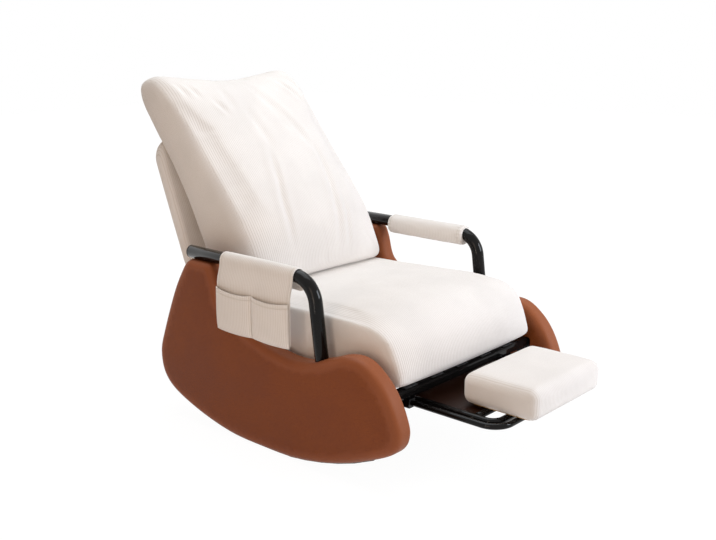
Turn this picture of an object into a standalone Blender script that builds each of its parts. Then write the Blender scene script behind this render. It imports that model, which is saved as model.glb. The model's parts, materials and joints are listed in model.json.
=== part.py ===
"""A rocking recliner: padded rocker sides, tube arms, a reclining back and a pull-out footrest.

Metres, +Z up. The sitter faces -Y, the mid-plane is X = 0 and the floor is Z = 0.
The sitter's right side is -X.
"""

import math

import bmesh
import bpy
from mathutils import Matrix, Vector

# Clearances
GAP = 0.0003                # between pieces that touch
RUNNING_GAP = 0.0003        # round pieces that slide or turn
WELD = 0.00001              # points this near are one

# Rocker sides
PANEL_INNER_X = 0.312       # mid-plane to the inner face of a rocker side
PANEL_THICKNESS = 0.058
PANEL_EDGE_R = 0.018        # padded edge
PADDING = 0.019             # foam and leatherette round the core board
ROCK_RADIUS = 0.92          # rolling radius of the lower edge
ROCK_CENTRE_Y = 0.046       # middle of the lower edge
FLAT_HALF = 0.095           # half of the short flat on which the empty chair stands
ARC_REAR_Y = 0.416          # where the rolling edge ends, behind and in front
ARC_FRONT_Y = -0.379
HEEL_Y = 0.464
TOE_Y = -0.424
HORN_REAR_Y = 0.321         # the horn behind, on which the arm tube lies
HORN_FRONT_Y = 0.226
SADDLE_Z = 0.272            # dip under the arm
BUMP_Z = 0.319              # rise at the front of the seat
STRIP_WIDTH = 0.022         # anti-slip strip under the rolling edge
STRIP_THICKNESS = 0.003

# Arms
ARM_TUBE_R = 0.0175
ARM_TUBE_WALL = 0.002
ARM_Z = 0.484               # axis of the arm tube
ARM_REAR_Y = 0.333
ARM_FOOT_Y = -0.154         # front leg, where it meets the saddle
ARM_LEG_LEAN = math.radians(7.6)
ARM_BEND_R = 0.067
ARM_SOCKET_DEPTH = 0.045    # below the saddle
PLUG_DOME = 0.006
PLUG_SPIGOT = 0.016
SLEEVE_R = 0.0275
SLEEVE_DROP = 0.007         # the sleeve hangs this far below the tube's axis
SLEEVE_FRONT_Y = -0.089
SLEEVE_REAR_Y = 0.191
COVER_FRONT_Y = -0.076      # fabric cover on the right arm
COVER_REAR_Y = 0.195
CLOTH_THICKNESS = 0.002
FLAP_BOTTOM_Z = 0.302
FLAP_STRAIGHT_Z = 0.425     # the outer flap hangs straight below this
INNER_FLAP_Z = 0.440
POUCH_MOUTH_Z = 0.418
POUCH_MOUTH_SAG = 0.006
POUCH_DEPTH = 0.009
POUCH_SEAM = 0.004          # between and beside the two pouches

# Seat frame
RAIL_DEPTH = 0.030
RAIL_HEIGHT = 0.026
RAIL_WALL = 0.002
RAIL_CORNER_R = 0.008
RAIL_BOTTOM_Z = 0.1978
FRONT_RAIL_Y = -0.321
FLANGE_THICKNESS = 0.004
FLANGE_DEPTH = 0.040
FLANGE_CORNER_R = 0.008
FLANGE_DROP = 0.040         # below the rail
BOLT_R = 0.005
BOLT_HEAD_R = 0.009
BOLT_HEAD = 0.005
BOLT_DROP = 0.022           # below the rail
BOLT_IN_CORE = 0.015
STRAP_COUNT = 5
STRAP_PITCH_SHARE = 0.34    # of the seat's half width
STRAP_WIDTH = 0.050
STRAP_THICKNESS = 0.002

# Footrest
LEG_X = 0.2155              # axis of each sliding leg
LEG_R = 0.0075
LEG_WALL = 0.0015
LEG_REAR_Y = -0.004
FRONT_BAR_Y = -0.589
FOOT_BEND_R = 0.050
GUIDE_WIDTH = 0.028
GUIDE_HEIGHT = 0.025
GUIDE_WALL = 0.002
GUIDE_CORNER_R = 0.004
GUIDE_BORE_R = 0.001
RUNNER_CORNER_R = 0.003
BUSH_LENGTH = 0.030
LEG_PLUG_LENGTH = 0.025
CROSSBAR_R = 0.009
CROSSBAR_Y = -0.503
LOOP_R = 0.009
LOOP_SLIT = 0.012           # between the loop and the sliding frame
LOOP_BEND_R = 0.030
BRIDGE_R = 0.005            # between the loop and the sliding frame
APRON_REAR_Y = -0.294       # covered board between the loop's legs
APRON_THICKNESS = 0.006
APRON_CORNER_R = 0.006
BOARD_HALF_WIDTH = 0.139
BOARD_THICKNESS = 0.008
BOARD_CORNER_R = 0.020
BOARD_MARGIN = 0.016        # pad beyond the board
PAD_HALF_WIDTH = 0.154
PAD_FRONT_Y = -0.646
PAD_REAR_Y = -0.436
PAD_HEIGHT = 0.0755
PAD_SIDE_R = 0.014
PAD_BULGE = 0.002
PAD_CROWN = 0.003

# Seat and back
SEAT_HALF_WIDTH = 0.312
SEAT_SIDE_R = 0.018
SEAT_DRAW_IN = 0.008
SEAT_CROWN = 0.026
SEAT_REAR_Y = 0.348
SEAT_FRONT_Y = -0.374
SEAT_HEIGHT = 0.167
HINGE_Y = 0.393
HINGE_Z = 0.285
HINGE_PLATE = 0.005
HINGE_HEAD_R = 0.026
HINGE_ARM_WIDTH = 0.030
HINGE_ARM_LENGTH = 0.076
PIN_R = 0.005
PIN_HEAD_R = 0.009
PIN_HEAD = 0.0035
BACK_LEAN = math.radians(21.5)
BACK_PANEL_HALF_WIDTH = 0.270
BACK_PANEL_THICKNESS = 0.042
BACK_PANEL_FOOT = 0.085     # along the back, from the hinge
BACK_PANEL_TOP = 0.512
BACK_PANEL_CORNER_R = 0.070
BACK_PANEL_EDGE_R = 0.017
BACK_TUBE_R = 0.011
BACK_TUBE_WALL = 0.0015
BACK_TUBE_X = 0.235
BACK_TUBE_FOOT = 0.018
BACK_TUBE_TOP = 0.490
BACK_TUBE_BEND_R = 0.060
BACK_CUSHION_HALF_WIDTH = 0.271
BACK_CUSHION_SIDE_R = 0.020
BACK_CUSHION_DRAW_IN = 0.010
BACK_CUSHION_CROWN = 0.030
BACK_CUSHION_TOP_SAG = 0.036
BACK_CUSHION_FRONT_Y = 0.152
BACK_CUSHION_REACH = 0.506  # from its front to its rear, along Y
BACK_CUSHION_FOOT_Z = 0.3895
BACK_CUSHION_RISE = 0.553
BACK_CUSHION_EAR = 0.034    # rise of the two top corners
BACK_CUSHION_FACE_LEAN = math.radians(33)

# Derived places
PANEL_MID_X = PANEL_INNER_X + PANEL_THICKNESS / 2
PANEL_OUTER_X = PANEL_INNER_X + PANEL_THICKNESS
RAIL_TOP_Z = RAIL_BOTTOM_Z + RAIL_HEIGHT
GUIDE_TOP_Z = RAIL_BOTTOM_Z - GAP
LEG_Z = GUIDE_TOP_Z - GUIDE_HEIGHT / 2
FOOT_SEAT_Z = LEG_Z + LEG_R
REAR_RAIL_Y = HINGE_Y
SEAT_BOTTOM_Z = RAIL_TOP_Z + GAP + STRAP_THICKNESS + GAP
HINGE_ARM_X = BACK_TUBE_X + BACK_TUBE_R + GAP
BRACKET_X = HINGE_ARM_X + HINGE_PLATE + GAP

LEATHER = ("leatherette", (0.188, 0.058, 0.021), 0.45, 0.0)
CREAM = ("cream_corduroy", (0.80, 0.74, 0.68), 0.85, 0.0)
BLACK_STEEL = ("black_steel", (0.010, 0.010, 0.011), 0.22, 0.6)
BLACK_PLASTIC = ("black_plastic", (0.012, 0.012, 0.013), 0.5, 0.0)
RUBBER = ("black_rubber", (0.015, 0.015, 0.015), 0.8, 0.0)
PLYWOOD = ("plywood", (0.48, 0.33, 0.19), 0.7, 0.0)
WEBBING = ("black_webbing", (0.02, 0.02, 0.022), 0.9, 0.0)


# Scene helpers


def clear_scene():
    for obj in list(bpy.data.objects):
        bpy.data.objects.remove(obj, do_unlink=True)


def new_collection(name):
    collection = bpy.data.collections.new(name)
    bpy.context.scene.collection.children.link(collection)
    return collection


def material(finish):
    name, colour, roughness, metallic = finish
    found = bpy.data.materials.get(name)
    if found:
        return found
    made = bpy.data.materials.new(name)
    made.use_nodes = True
    shader = made.node_tree.nodes["Principled BSDF"]
    shader.inputs["Base Color"].default_value = (*colour, 1.0)
    shader.inputs["Roughness"].default_value = roughness
    shader.inputs["Metallic"].default_value = metallic
    made.diffuse_color = (*colour, 1.0)
    return made


def part(name, mesh, finish, parent=None, smooth=True):
    """A named sub-part. A moving one hangs from the empty on its joint's axis."""
    obj = bpy.data.objects.new(name, mesh)
    mesh.name = name
    mesh.materials.clear()
    mesh.materials.append(material(finish))
    parts.objects.link(obj)
    if smooth:
        mesh.shade_smooth()
        mesh.set_sharp_from_angle(angle=math.radians(35))
    if parent:
        obj.parent = parent
    return obj


def cutter(name, mesh, parent=None):
    obj = bpy.data.objects.new(name, mesh)
    obj.hide_render = True
    obj.display_type = "WIRE"
    cutters.objects.link(obj)
    obj.parent = parent
    return obj


def cut(obj, tool):
    change = obj.modifiers.new("cut " + tool.name, "BOOLEAN")
    change.operation = "DIFFERENCE"
    change.solver = "EXACT"
    change.object = tool


def joint_empty(name, place, tilt=0.0):
    empty = bpy.data.objects.new(name, None)
    empty.empty_display_size = 0.05
    empty.location = place
    empty.rotation_euler = (tilt, 0, 0)
    parts.objects.link(empty)
    return empty


def side_frame(x, y=0.0, z=0.0):
    """Takes an outline drawn in (Y, Z) to its place, with its depth along X."""
    return Matrix(((0, 0, 1, x), (1, 0, 0, y), (0, 1, 0, z), (0, 0, 0, 1)))


def length_frame(x, y, z):
    """Takes an outline drawn in (X, Z) to its place, with its depth along Y."""
    return Matrix(((1, 0, 0, x), (0, 0, -1, y), (0, 1, 0, z), (0, 0, 0, 1)))


# Shapes


def rectangle(width, height, corner=0.0, steps=3):
    """A rectangle about the origin, with rounded corners."""
    if corner == 0.0:
        a, b = width / 2, height / 2
        return [(-a, -b), (a, -b), (a, b), (-a, b)]
    points = []
    for quarter, (sx, sy) in enumerate(((1, -1), (1, 1), (-1, 1), (-1, -1))):
        cx = sx * (width / 2 - corner)
        cy = sy * (height / 2 - corner)
        for k in range(steps + 1):
            angle = math.pi / 2 * (quarter - 1 + k / steps)
            points.append((cx + corner * math.cos(angle), cy + corner * math.sin(angle)))
    return points


def circle(radius, sides=24, centre=(0.0, 0.0)):
    turn = 2 * math.pi / sides
    return [
        (centre[0] + radius * math.cos(k * turn), centre[1] + radius * math.sin(k * turn))
        for k in range(sides)
    ]


def smooth_loop(points, steps):
    """Points on a Catmull-Rom curve through a closed chain of points."""
    count = len(points)
    loop = []
    for i in range(count):
        before, start, end, after = (Vector(points[(i + k) % count]) for k in (-1, 0, 1, 2))
        for k in range(steps):
            t = k / steps
            loop.append(
                0.5 * (2 * start + (end - before) * t
                       + (2 * before - 5 * start + 4 * end - after) * t**2
                       + (3 * start - before - 3 * end + after) * t**3)
            )
    return [tuple(point) for point in loop]


def inset_loop(points, distance):
    """The closed chain of points moved inwards, for a chain that runs anticlockwise."""
    moved = []
    for i, point in enumerate(points):
        along = (Vector(points[(i + 1) % len(points)]) - Vector(points[i - 1])).normalized()
        inward = Vector((-along.y, along.x))
        moved.append(tuple(Vector(point) + distance * inward))
    return moved


def without_straight(points):
    """The closed chain without the points that lie on a straight run."""
    kept = []
    for i, point in enumerate(points):
        into = Vector(point) - Vector(points[i - 1])
        out = Vector(points[(i + 1) % len(points)]) - Vector(point)
        if abs(into.cross(out)) > 0.0000001:
            kept.append(point)
    return kept


def bent_path(corners, bend_radius, steps=6):
    """Straight runs between the corners, joined by arcs."""
    corners = [Vector(corner) for corner in corners]
    path = [corners[0]]
    for before, corner, after in zip(corners, corners[1:], corners[2:]):
        into = (corner - before).normalized()
        out = (after - corner).normalized()
        turn = into.angle(out)
        start = corner - into * bend_radius * math.tan(turn / 2)
        centre = corner + (out - into).normalized() * bend_radius / math.cos(turn / 2)
        axis = into.cross(out)
        for k in range(steps + 1):
            spin = Matrix.Rotation(turn * k / steps, 3, axis)
            path.append(centre + spin @ (start - centre))
    path.append(corners[-1])
    return path


def mesh_of_curve(curve, frame):
    """The curve's solid as a mesh, with its caps welded."""
    guide = bpy.data.objects.new("guide", curve)
    bpy.context.scene.collection.objects.link(guide)
    graph = bpy.context.evaluated_depsgraph_get()
    mesh = bpy.data.meshes.new_from_object(guide.evaluated_get(graph))
    bpy.data.objects.remove(guide)
    bpy.data.curves.remove(curve)
    welded = bmesh.new()
    welded.from_mesh(mesh)
    bmesh.ops.remove_doubles(welded, verts=welded.verts, dist=WELD)
    bmesh.ops.recalc_face_normals(welded, faces=welded.faces)
    welded.to_mesh(mesh)
    welded.free()
    mesh.transform(frame)
    return mesh


def add_spline(curve, points, closed):
    spline = curve.splines.new("POLY")
    spline.points.add(len(points) - 1)
    for point, place in zip(spline.points, points):
        point.co = (*place, 1.0) if len(place) == 3 else (*place, 0.0, 1.0)
    spline.use_cyclic_u = closed


def extrusion(loops, depth, frame, edge=0.0, edge_steps=1):
    """A flat outline, with any holes after it, given a depth about its own plane and a rounded edge."""
    curve = bpy.data.curves.new("outline", "CURVE")
    curve.dimensions = "2D"
    curve.fill_mode = "BOTH"
    curve.extrude = depth / 2 - edge
    curve.bevel_depth = edge
    curve.bevel_resolution = edge_steps
    curve.offset = -edge
    for loop in loops:
        add_spline(curve, loop, True)
    return mesh_of_curve(curve, frame)


def rod(path, radius, sides=12, caps=True):
    curve = bpy.data.curves.new("path", "CURVE")
    curve.dimensions = "3D"
    curve.bevel_depth = radius
    curve.bevel_resolution = (sides - 4) // 2
    curve.use_fill_caps = caps
    add_spline(curve, path, False)
    return mesh_of_curve(curve, Matrix.Identity(4))


def tube(name, path, radius, wall, finish, parent=None, sides=12):
    """A bent steel tube with open ends."""
    obj = part(name, rod(path, radius, sides, caps=False), finish, parent)
    shell = obj.modifiers.new("wall", "SOLIDIFY")
    shell.thickness = wall
    shell.offset = -1.0
    return obj


def turned(name, profile, frame, finish, sides=20, parent=None):
    """A round piece. The profile is a list of (radius, height), from the top down its outer side."""
    mesh = bpy.data.meshes.new(name)
    mesh.from_pydata([(r, 0, h) for r, h in profile], [(k, k + 1) for k in range(len(profile) - 1)], [])
    obj = part(name, mesh, finish, parent, smooth=False)
    obj.matrix_local = frame
    screw = obj.modifiers.new("turn", "SCREW")
    screw.steps = sides
    screw.render_steps = sides
    screw.use_merge_vertices = True
    screw.merge_threshold = WELD
    screw.use_smooth_shade = False
    return obj


def sheet(name, columns, rows, place, thickness, finish):
    """A cloth sheet. The place function takes (0..1, 0..1) to a point of its middle surface."""
    grid = bmesh.new()
    bmesh.ops.create_grid(grid, x_segments=columns, y_segments=rows, size=0.5)
    for vert in grid.verts:
        vert.co = place(vert.co.x + 0.5, vert.co.y + 0.5)
    mesh = bpy.data.meshes.new(name)
    grid.to_mesh(mesh)
    grid.free()
    obj = part(name, mesh, finish)
    shell = obj.modifiers.new("cloth", "SOLIDIFY")
    shell.thickness = thickness
    shell.offset = 0.0
    return obj


def cushion_mesh(profile, half_width, side_radius, shape):
    """A coarse cage for a cushion: its side profile at five stations, closed at both ends.

    The shape function takes (x share, profile place) and returns the shift of that point.
    """
    cage = bmesh.new()
    stations = (
        (-half_width, side_radius),
        (side_radius - half_width, 0.0),
        (0.0, 0.0),
        (half_width - side_radius, 0.0),
        (half_width, side_radius),
    )
    rings = []
    for x, inset in stations:
        ring = []
        for k, (y, z) in enumerate(inset_loop(profile, inset)):
            share = x / half_width
            ring.append(cage.verts.new(Vector((x, y, z)) + shape(share, k)))
        rings.append(ring)
    count = len(profile)
    for ring, following in zip(rings, rings[1:]):
        for k in range(count):
            after = (k + 1) % count
            cage.faces.new((ring[k], ring[after], following[after], following[k]))
    cage.faces.new(rings[0])
    cage.faces.new(rings[-1])
    bmesh.ops.recalc_face_normals(cage, faces=cage.faces)
    mesh = bpy.data.meshes.new("cushion")
    cage.to_mesh(mesh)
    cage.free()
    return mesh


def soften(obj, levels=2):
    smooth = obj.modifiers.new("soften", "SUBSURF")
    smooth.levels = levels
    smooth.render_levels = levels


# Rocker sides


def rolling_z(y):
    """Height of the rolling edge above the floor: an arc with a short flat at its lowest point."""
    flat_drop = math.sqrt(ROCK_RADIUS**2 - FLAT_HALF**2)
    reach = y - ROCK_CENTRE_Y
    return max(0.0, flat_drop - math.sqrt(ROCK_RADIUS**2 - reach**2))


def horn_top():
    return ARM_Z - ARM_TUBE_R - GAP


def rocker_outline():
    """The side's outline in (Y, Z), anticlockwise seen from +X."""
    lift = STRIP_THICKNESS + GAP
    flat_front = ROCK_CENTRE_Y - FLAT_HALF
    flat_rear = ROCK_CENTRE_Y + FLAT_HALF
    edge_y = [
        ARC_FRONT_Y,
        (2 * ARC_FRONT_Y + flat_front) / 3,
        (ARC_FRONT_Y + 2 * flat_front) / 3,
        flat_front,
        ROCK_CENTRE_Y,
        flat_rear,
        (ARC_REAR_Y + 2 * flat_rear) / 3,
        (2 * ARC_REAR_Y + flat_rear) / 3,
        ARC_REAR_Y,
    ]
    edge = [(y, rolling_z(y) + lift) for y in edge_y]
    heel = [
        (HEEL_Y - 0.007, 0.118),
        (HEEL_Y, 0.175),
        (HEEL_Y - 0.021, 0.241),
        (HEEL_Y - 0.070, 0.356),
    ]
    horn = [
        (HORN_REAR_Y + 0.037, horn_top() - 0.045),
        (HORN_REAR_Y + 0.004, horn_top() - 0.004),
        (HORN_REAR_Y - 0.040, horn_top() + 0.001),
        (HORN_FRONT_Y + 0.012, horn_top() - 0.003),
        (HORN_FRONT_Y - 0.006, horn_top() - 0.035),
    ]
    saddle = [
        (HORN_FRONT_Y - 0.027, SADDLE_Z + 0.095),
        (HORN_FRONT_Y - 0.080, SADDLE_Z + 0.058),
        (HORN_FRONT_Y - 0.150, SADDLE_Z + 0.028),
        (HORN_FRONT_Y - 0.250, SADDLE_Z + 0.002),
        (TOE_Y + 0.315, SADDLE_Z + 0.001),
        (TOE_Y + 0.245, BUMP_Z - 0.025),
        (TOE_Y + 0.177, BUMP_Z - 0.001),
        (TOE_Y + 0.124, BUMP_Z - 0.002),
    ]
    toe = [
        (TOE_Y + 0.076, BUMP_Z - 0.032),
        (TOE_Y + 0.040, 0.245),
        (TOE_Y + 0.013, 0.190),
        (TOE_Y, 0.148),
        (TOE_Y + 0.012, 0.112),
    ]
    loop = smooth_loop(edge + heel + horn + saddle + toe, 2)
    return without_straight([(y, min(max(z, rolling_z(y) + lift), horn_top())) for y, z in loop])


def arm_path(sign, foot_extra=0.0):
    """Axis of an arm tube, from its rear end round the bend and down into the rocker side."""
    x = sign * PANEL_MID_X
    foot_z = SADDLE_Z - ARM_SOCKET_DEPTH - foot_extra
    slope = math.tan(ARM_LEG_LEAN)
    corner_y = ARM_FOOT_Y + (ARM_Z - SADDLE_Z) * slope
    foot_y = ARM_FOOT_Y - (SADDLE_Z - foot_z) * slope
    corners = ((x, ARM_REAR_Y, ARM_Z), (x, corner_y, ARM_Z), (x, foot_y, foot_z))
    return bent_path(corners, ARM_BEND_R)


def bolt_places():
    return (("front", FRONT_RAIL_Y), ("rear", REAR_RAIL_Y))


def bolt_frame(sign, y):
    """A turned bolt's own frame: its height runs towards the chair's middle."""
    z = RAIL_BOTTOM_Z - BOLT_DROP
    turn = Matrix.Rotation(-sign * math.pi / 2, 4, "Y")
    return Matrix.Translation((sign * (PANEL_INNER_X - GAP - FLANGE_THICKNESS - GAP), y, z)) @ turn


def make_rocker(side, sign):
    outline = rocker_outline()
    inner = inset_loop(outline, PADDING)
    core_thickness = PANEL_THICKNESS - 2 * PADDING
    middle = side_frame(sign * PANEL_MID_X)
    core = part(side + "_rocker_core", extrusion([inner], core_thickness, middle), PLYWOOD)
    cover = part(
        side + "_rocker_cover",
        extrusion([outline], PANEL_THICKNESS, middle, PANEL_EDGE_R),
        LEATHER,
    )
    room = extrusion([inset_loop(inner, -GAP)], core_thickness + 2 * GAP, middle)
    cut(cover, cutter(side + "_core_room", room))
    socket = cutter(side + "_arm_socket", rod(arm_path(sign, GAP), ARM_TUBE_R + GAP, 16))
    cut(cover, socket)
    cut(core, socket)
    hole_end = PANEL_INNER_X + PADDING + BOLT_IN_CORE + GAP
    hole_start = PANEL_INNER_X - PADDING
    for place, y in bolt_places():
        z = RAIL_BOTTOM_Z - BOLT_DROP
        hole = extrusion(
            [circle(BOLT_R + GAP, 12)],
            hole_end - hole_start,
            side_frame(sign * (hole_end + hole_start) / 2, y, z),
        )
        drill = cutter(f"{side}_{place}_bolt_hole", hole)
        cut(cover, drill)
        cut(core, drill)
    make_strip(side, outline, middle)


def make_strip(side, outline, middle):
    """The anti-slip strip lies under the outline's rolling edge."""
    upper = []
    for y, z in outline:
        if ARC_FRONT_Y <= y <= ARC_REAR_Y and z < rolling_z(y) + 2 * STRIP_THICKNESS:
            upper.append((y, z - GAP))
    lower = [(y, z - STRIP_THICKNESS) for y, z in reversed(upper)]
    part(side + "_rocker_strip", extrusion([upper + lower], STRIP_WIDTH, middle), RUBBER)


# Arms


def make_arm(side, sign):
    tube(side + "_arm_tube", arm_path(sign), ARM_TUBE_R, ARM_TUBE_WALL, BLACK_STEEL, sides=16)
    bore = ARM_TUBE_R - ARM_TUBE_WALL - GAP
    profile = [
        (0.0, PLUG_DOME),
        (ARM_TUBE_R * 0.5, PLUG_DOME * 0.85),
        (ARM_TUBE_R * 0.85, PLUG_DOME * 0.45),
        (ARM_TUBE_R, 0.0),
        (ARM_TUBE_R, -PLUG_DOME / 4),
        (bore * 0.99, -PLUG_DOME / 4),
        (bore * 0.99, -PLUG_SPIGOT),
        (0.0, -PLUG_SPIGOT),
    ]
    rear = ARM_REAR_Y + GAP + PLUG_DOME / 4
    frame = Matrix.Translation((sign * PANEL_MID_X, rear, ARM_Z)) @ Matrix.Rotation(-math.pi / 2, 4, "X")
    turned(side + "_arm_plug", profile, frame, BLACK_PLASTIC)


def make_sleeve():
    """The padded sleeve on the left arm, drawn in at both ends."""
    length = SLEEVE_REAR_Y - SLEEVE_FRONT_Y
    inner = ARM_TUBE_R * 0.5
    half = []
    for along, share in ((0.5, 0.925), (0.497, 0.955), (0.475, 0.985), (0.42, 1.0), (0.2, 1.0)):
        half.append((SLEEVE_R * share, length * along))
    profile = [(inner, length * 0.5)] + half
    profile += [(radius, -height) for radius, height in reversed(half)]
    profile += [(inner, -length * 0.5), (inner, length * 0.5)]
    middle = Vector((PANEL_MID_X, (SLEEVE_REAR_Y + SLEEVE_FRONT_Y) / 2, ARM_Z - SLEEVE_DROP))
    frame = Matrix.Translation(middle) @ Matrix.Rotation(-math.pi / 2, 4, "X")
    sleeve = turned("left_arm_sleeve", profile, frame, CREAM, sides=24)
    cut(sleeve, cutter("sleeve_bore", rod(arm_path(1), ARM_TUBE_R + GAP, 16)))


def cover_section():
    """Cross-section (X, Z) of the right arm's cover: inner flap, over the tube, outer flap."""
    radius = ARM_TUBE_R + GAP + CLOTH_THICKNESS / 2
    flap_x = -(PANEL_OUTER_X + GAP + CLOTH_THICKNESS / 2)
    tube_x = -PANEL_MID_X
    section = [(tube_x + radius, INNER_FLAP_Z), (tube_x + radius, (INNER_FLAP_Z + ARM_Z) / 2)]
    for k in range(9):
        angle = math.pi * k / 8
        section.append((tube_x + radius * math.cos(angle), ARM_Z + radius * math.sin(angle)))
    start_x = tube_x - radius
    for k in range(1, 5):
        t = k / 4
        ease = t * t * (3 - 2 * t)
        section.append((start_x + (flap_x - start_x) * ease, ARM_Z + (FLAP_STRAIGHT_Z - ARM_Z) * t))
    for k in range(1, 4):
        section.append((flap_x, FLAP_STRAIGHT_Z + (FLAP_BOTTOM_Z - FLAP_STRAIGHT_Z) * k / 3))
    return section


def make_arm_cover():
    section = cover_section()
    rows = len(section) - 1

    def place(along, round_share):
        x, z = section[round(round_share * rows)]
        y = COVER_FRONT_Y + (COVER_REAR_Y - COVER_FRONT_Y) * along
        return Vector((x, y, z))

    sheet("armrest_cover", 6, rows, place, CLOTH_THICKNESS, CREAM)
    middle = (COVER_FRONT_Y + COVER_REAR_Y) / 2
    make_pouch("front_pouch", COVER_FRONT_Y + POUCH_SEAM, middle - POUCH_SEAM / 2)
    make_pouch("rear_pouch", middle + POUCH_SEAM / 2, COVER_REAR_Y - POUCH_SEAM)


def make_pouch(name, front_y, rear_y):
    """An open pouch sewn to the outer flap at its sides and bottom."""
    flap_x = PANEL_OUTER_X + GAP + CLOTH_THICKNESS

    def place(along, up):
        bulge = (1 - abs(2 * along - 1) ** 3) * (1 - (1 - up) ** 4)
        x = -(flap_x + GAP + CLOTH_THICKNESS / 2 + POUCH_DEPTH * bulge)
        mouth = POUCH_MOUTH_Z - POUCH_MOUTH_SAG * math.sin(math.pi * along)
        z = FLAP_BOTTOM_Z + (mouth - FLAP_BOTTOM_Z) * up
        return Vector((x, front_y + (rear_y - front_y) * along, z))

    sheet(name, 12, 8, place, CLOTH_THICKNESS, CREAM)


# Seat frame


def make_rail(place, y):
    half_length = PANEL_INNER_X - GAP - FLANGE_THICKNESS - GAP
    outer = rectangle(RAIL_DEPTH, RAIL_HEIGHT, RAIL_CORNER_R)
    inside = (RAIL_DEPTH - 2 * RAIL_WALL, RAIL_HEIGHT - 2 * RAIL_WALL)
    bore = rectangle(*inside, RAIL_CORNER_R - RAIL_WALL)
    frame = side_frame(0, y, RAIL_BOTTOM_Z + RAIL_HEIGHT / 2)
    part(place + "_rail", extrusion([outer, bore], 2 * half_length, frame), BLACK_STEEL)
    height = RAIL_HEIGHT + FLANGE_DROP
    for side, sign in SIDES:
        x = sign * (PANEL_INNER_X - GAP - FLANGE_THICKNESS / 2)
        hole = circle(BOLT_R + GAP, 12, (0.0, height / 2 - RAIL_HEIGHT - BOLT_DROP))
        mesh = extrusion(
            [rectangle(FLANGE_DEPTH, height, FLANGE_CORNER_R), hole],
            FLANGE_THICKNESS,
            side_frame(x, y, RAIL_TOP_Z - height / 2),
        )
        part(f"{side}_{place}_flange", mesh, BLACK_STEEL)
        make_bolt(f"{side}_{place}_bolt", sign, y)


def make_bolt(name, sign, y):
    shank = FLANGE_THICKNESS + 2 * GAP + PADDING + BOLT_IN_CORE
    profile = [
        (0.0, BOLT_HEAD),
        (BOLT_HEAD_R * 0.6, BOLT_HEAD * 0.9),
        (BOLT_HEAD_R, BOLT_HEAD * 0.35),
        (BOLT_HEAD_R, 0.0),
        (BOLT_R * 0.98, 0.0),
        (BOLT_R * 0.98, -shank),
        (0.0, -shank),
    ]
    turned(name, profile, bolt_frame(sign, y), BLACK_STEEL, sides=12)


def make_straps():
    front = FRONT_RAIL_Y - RAIL_DEPTH / 2 + RAIL_WALL
    rear = REAR_RAIL_Y + RAIL_DEPTH / 2 - RAIL_WALL
    z = RAIL_TOP_Z + GAP + STRAP_THICKNESS / 2
    pitch = STRAP_PITCH_SHARE * SEAT_HALF_WIDTH
    for k in range(STRAP_COUNT):
        x = pitch * (k - (STRAP_COUNT - 1) / 2)
        frame = Matrix.Translation((x, (front + rear) / 2, z))
        mesh = extrusion([rectangle(STRAP_WIDTH, rear - front)], STRAP_THICKNESS, frame)
        part(f"seat_strap_{k + 1}", mesh, WEBBING, smooth=False)


def make_guide(side, sign):
    front = FRONT_RAIL_Y - RAIL_DEPTH / 2
    rear = REAR_RAIL_Y + RAIL_DEPTH / 2
    outer = rectangle(GUIDE_WIDTH, GUIDE_HEIGHT, GUIDE_CORNER_R)
    room = (GUIDE_WIDTH - 2 * GUIDE_WALL, GUIDE_HEIGHT - 2 * GUIDE_WALL)
    frame = length_frame(sign * LEG_X, (front + rear) / 2, LEG_Z)
    mesh = extrusion([outer, rectangle(*room, GUIDE_BORE_R)], rear - front, frame)
    part(side + "_slide_guide", mesh, BLACK_STEEL)
    liner = rectangle(room[0] - 2 * GAP, room[1] - 2 * GAP, GUIDE_BORE_R)
    frame = length_frame(sign * LEG_X, front + BUSH_LENGTH / 2, LEG_Z)
    mesh = extrusion([liner, circle(LEG_R + RUNNING_GAP, 16)], BUSH_LENGTH, frame)
    part(side + "_guide_bush", mesh, BLACK_PLASTIC)


# Footrest


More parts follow.
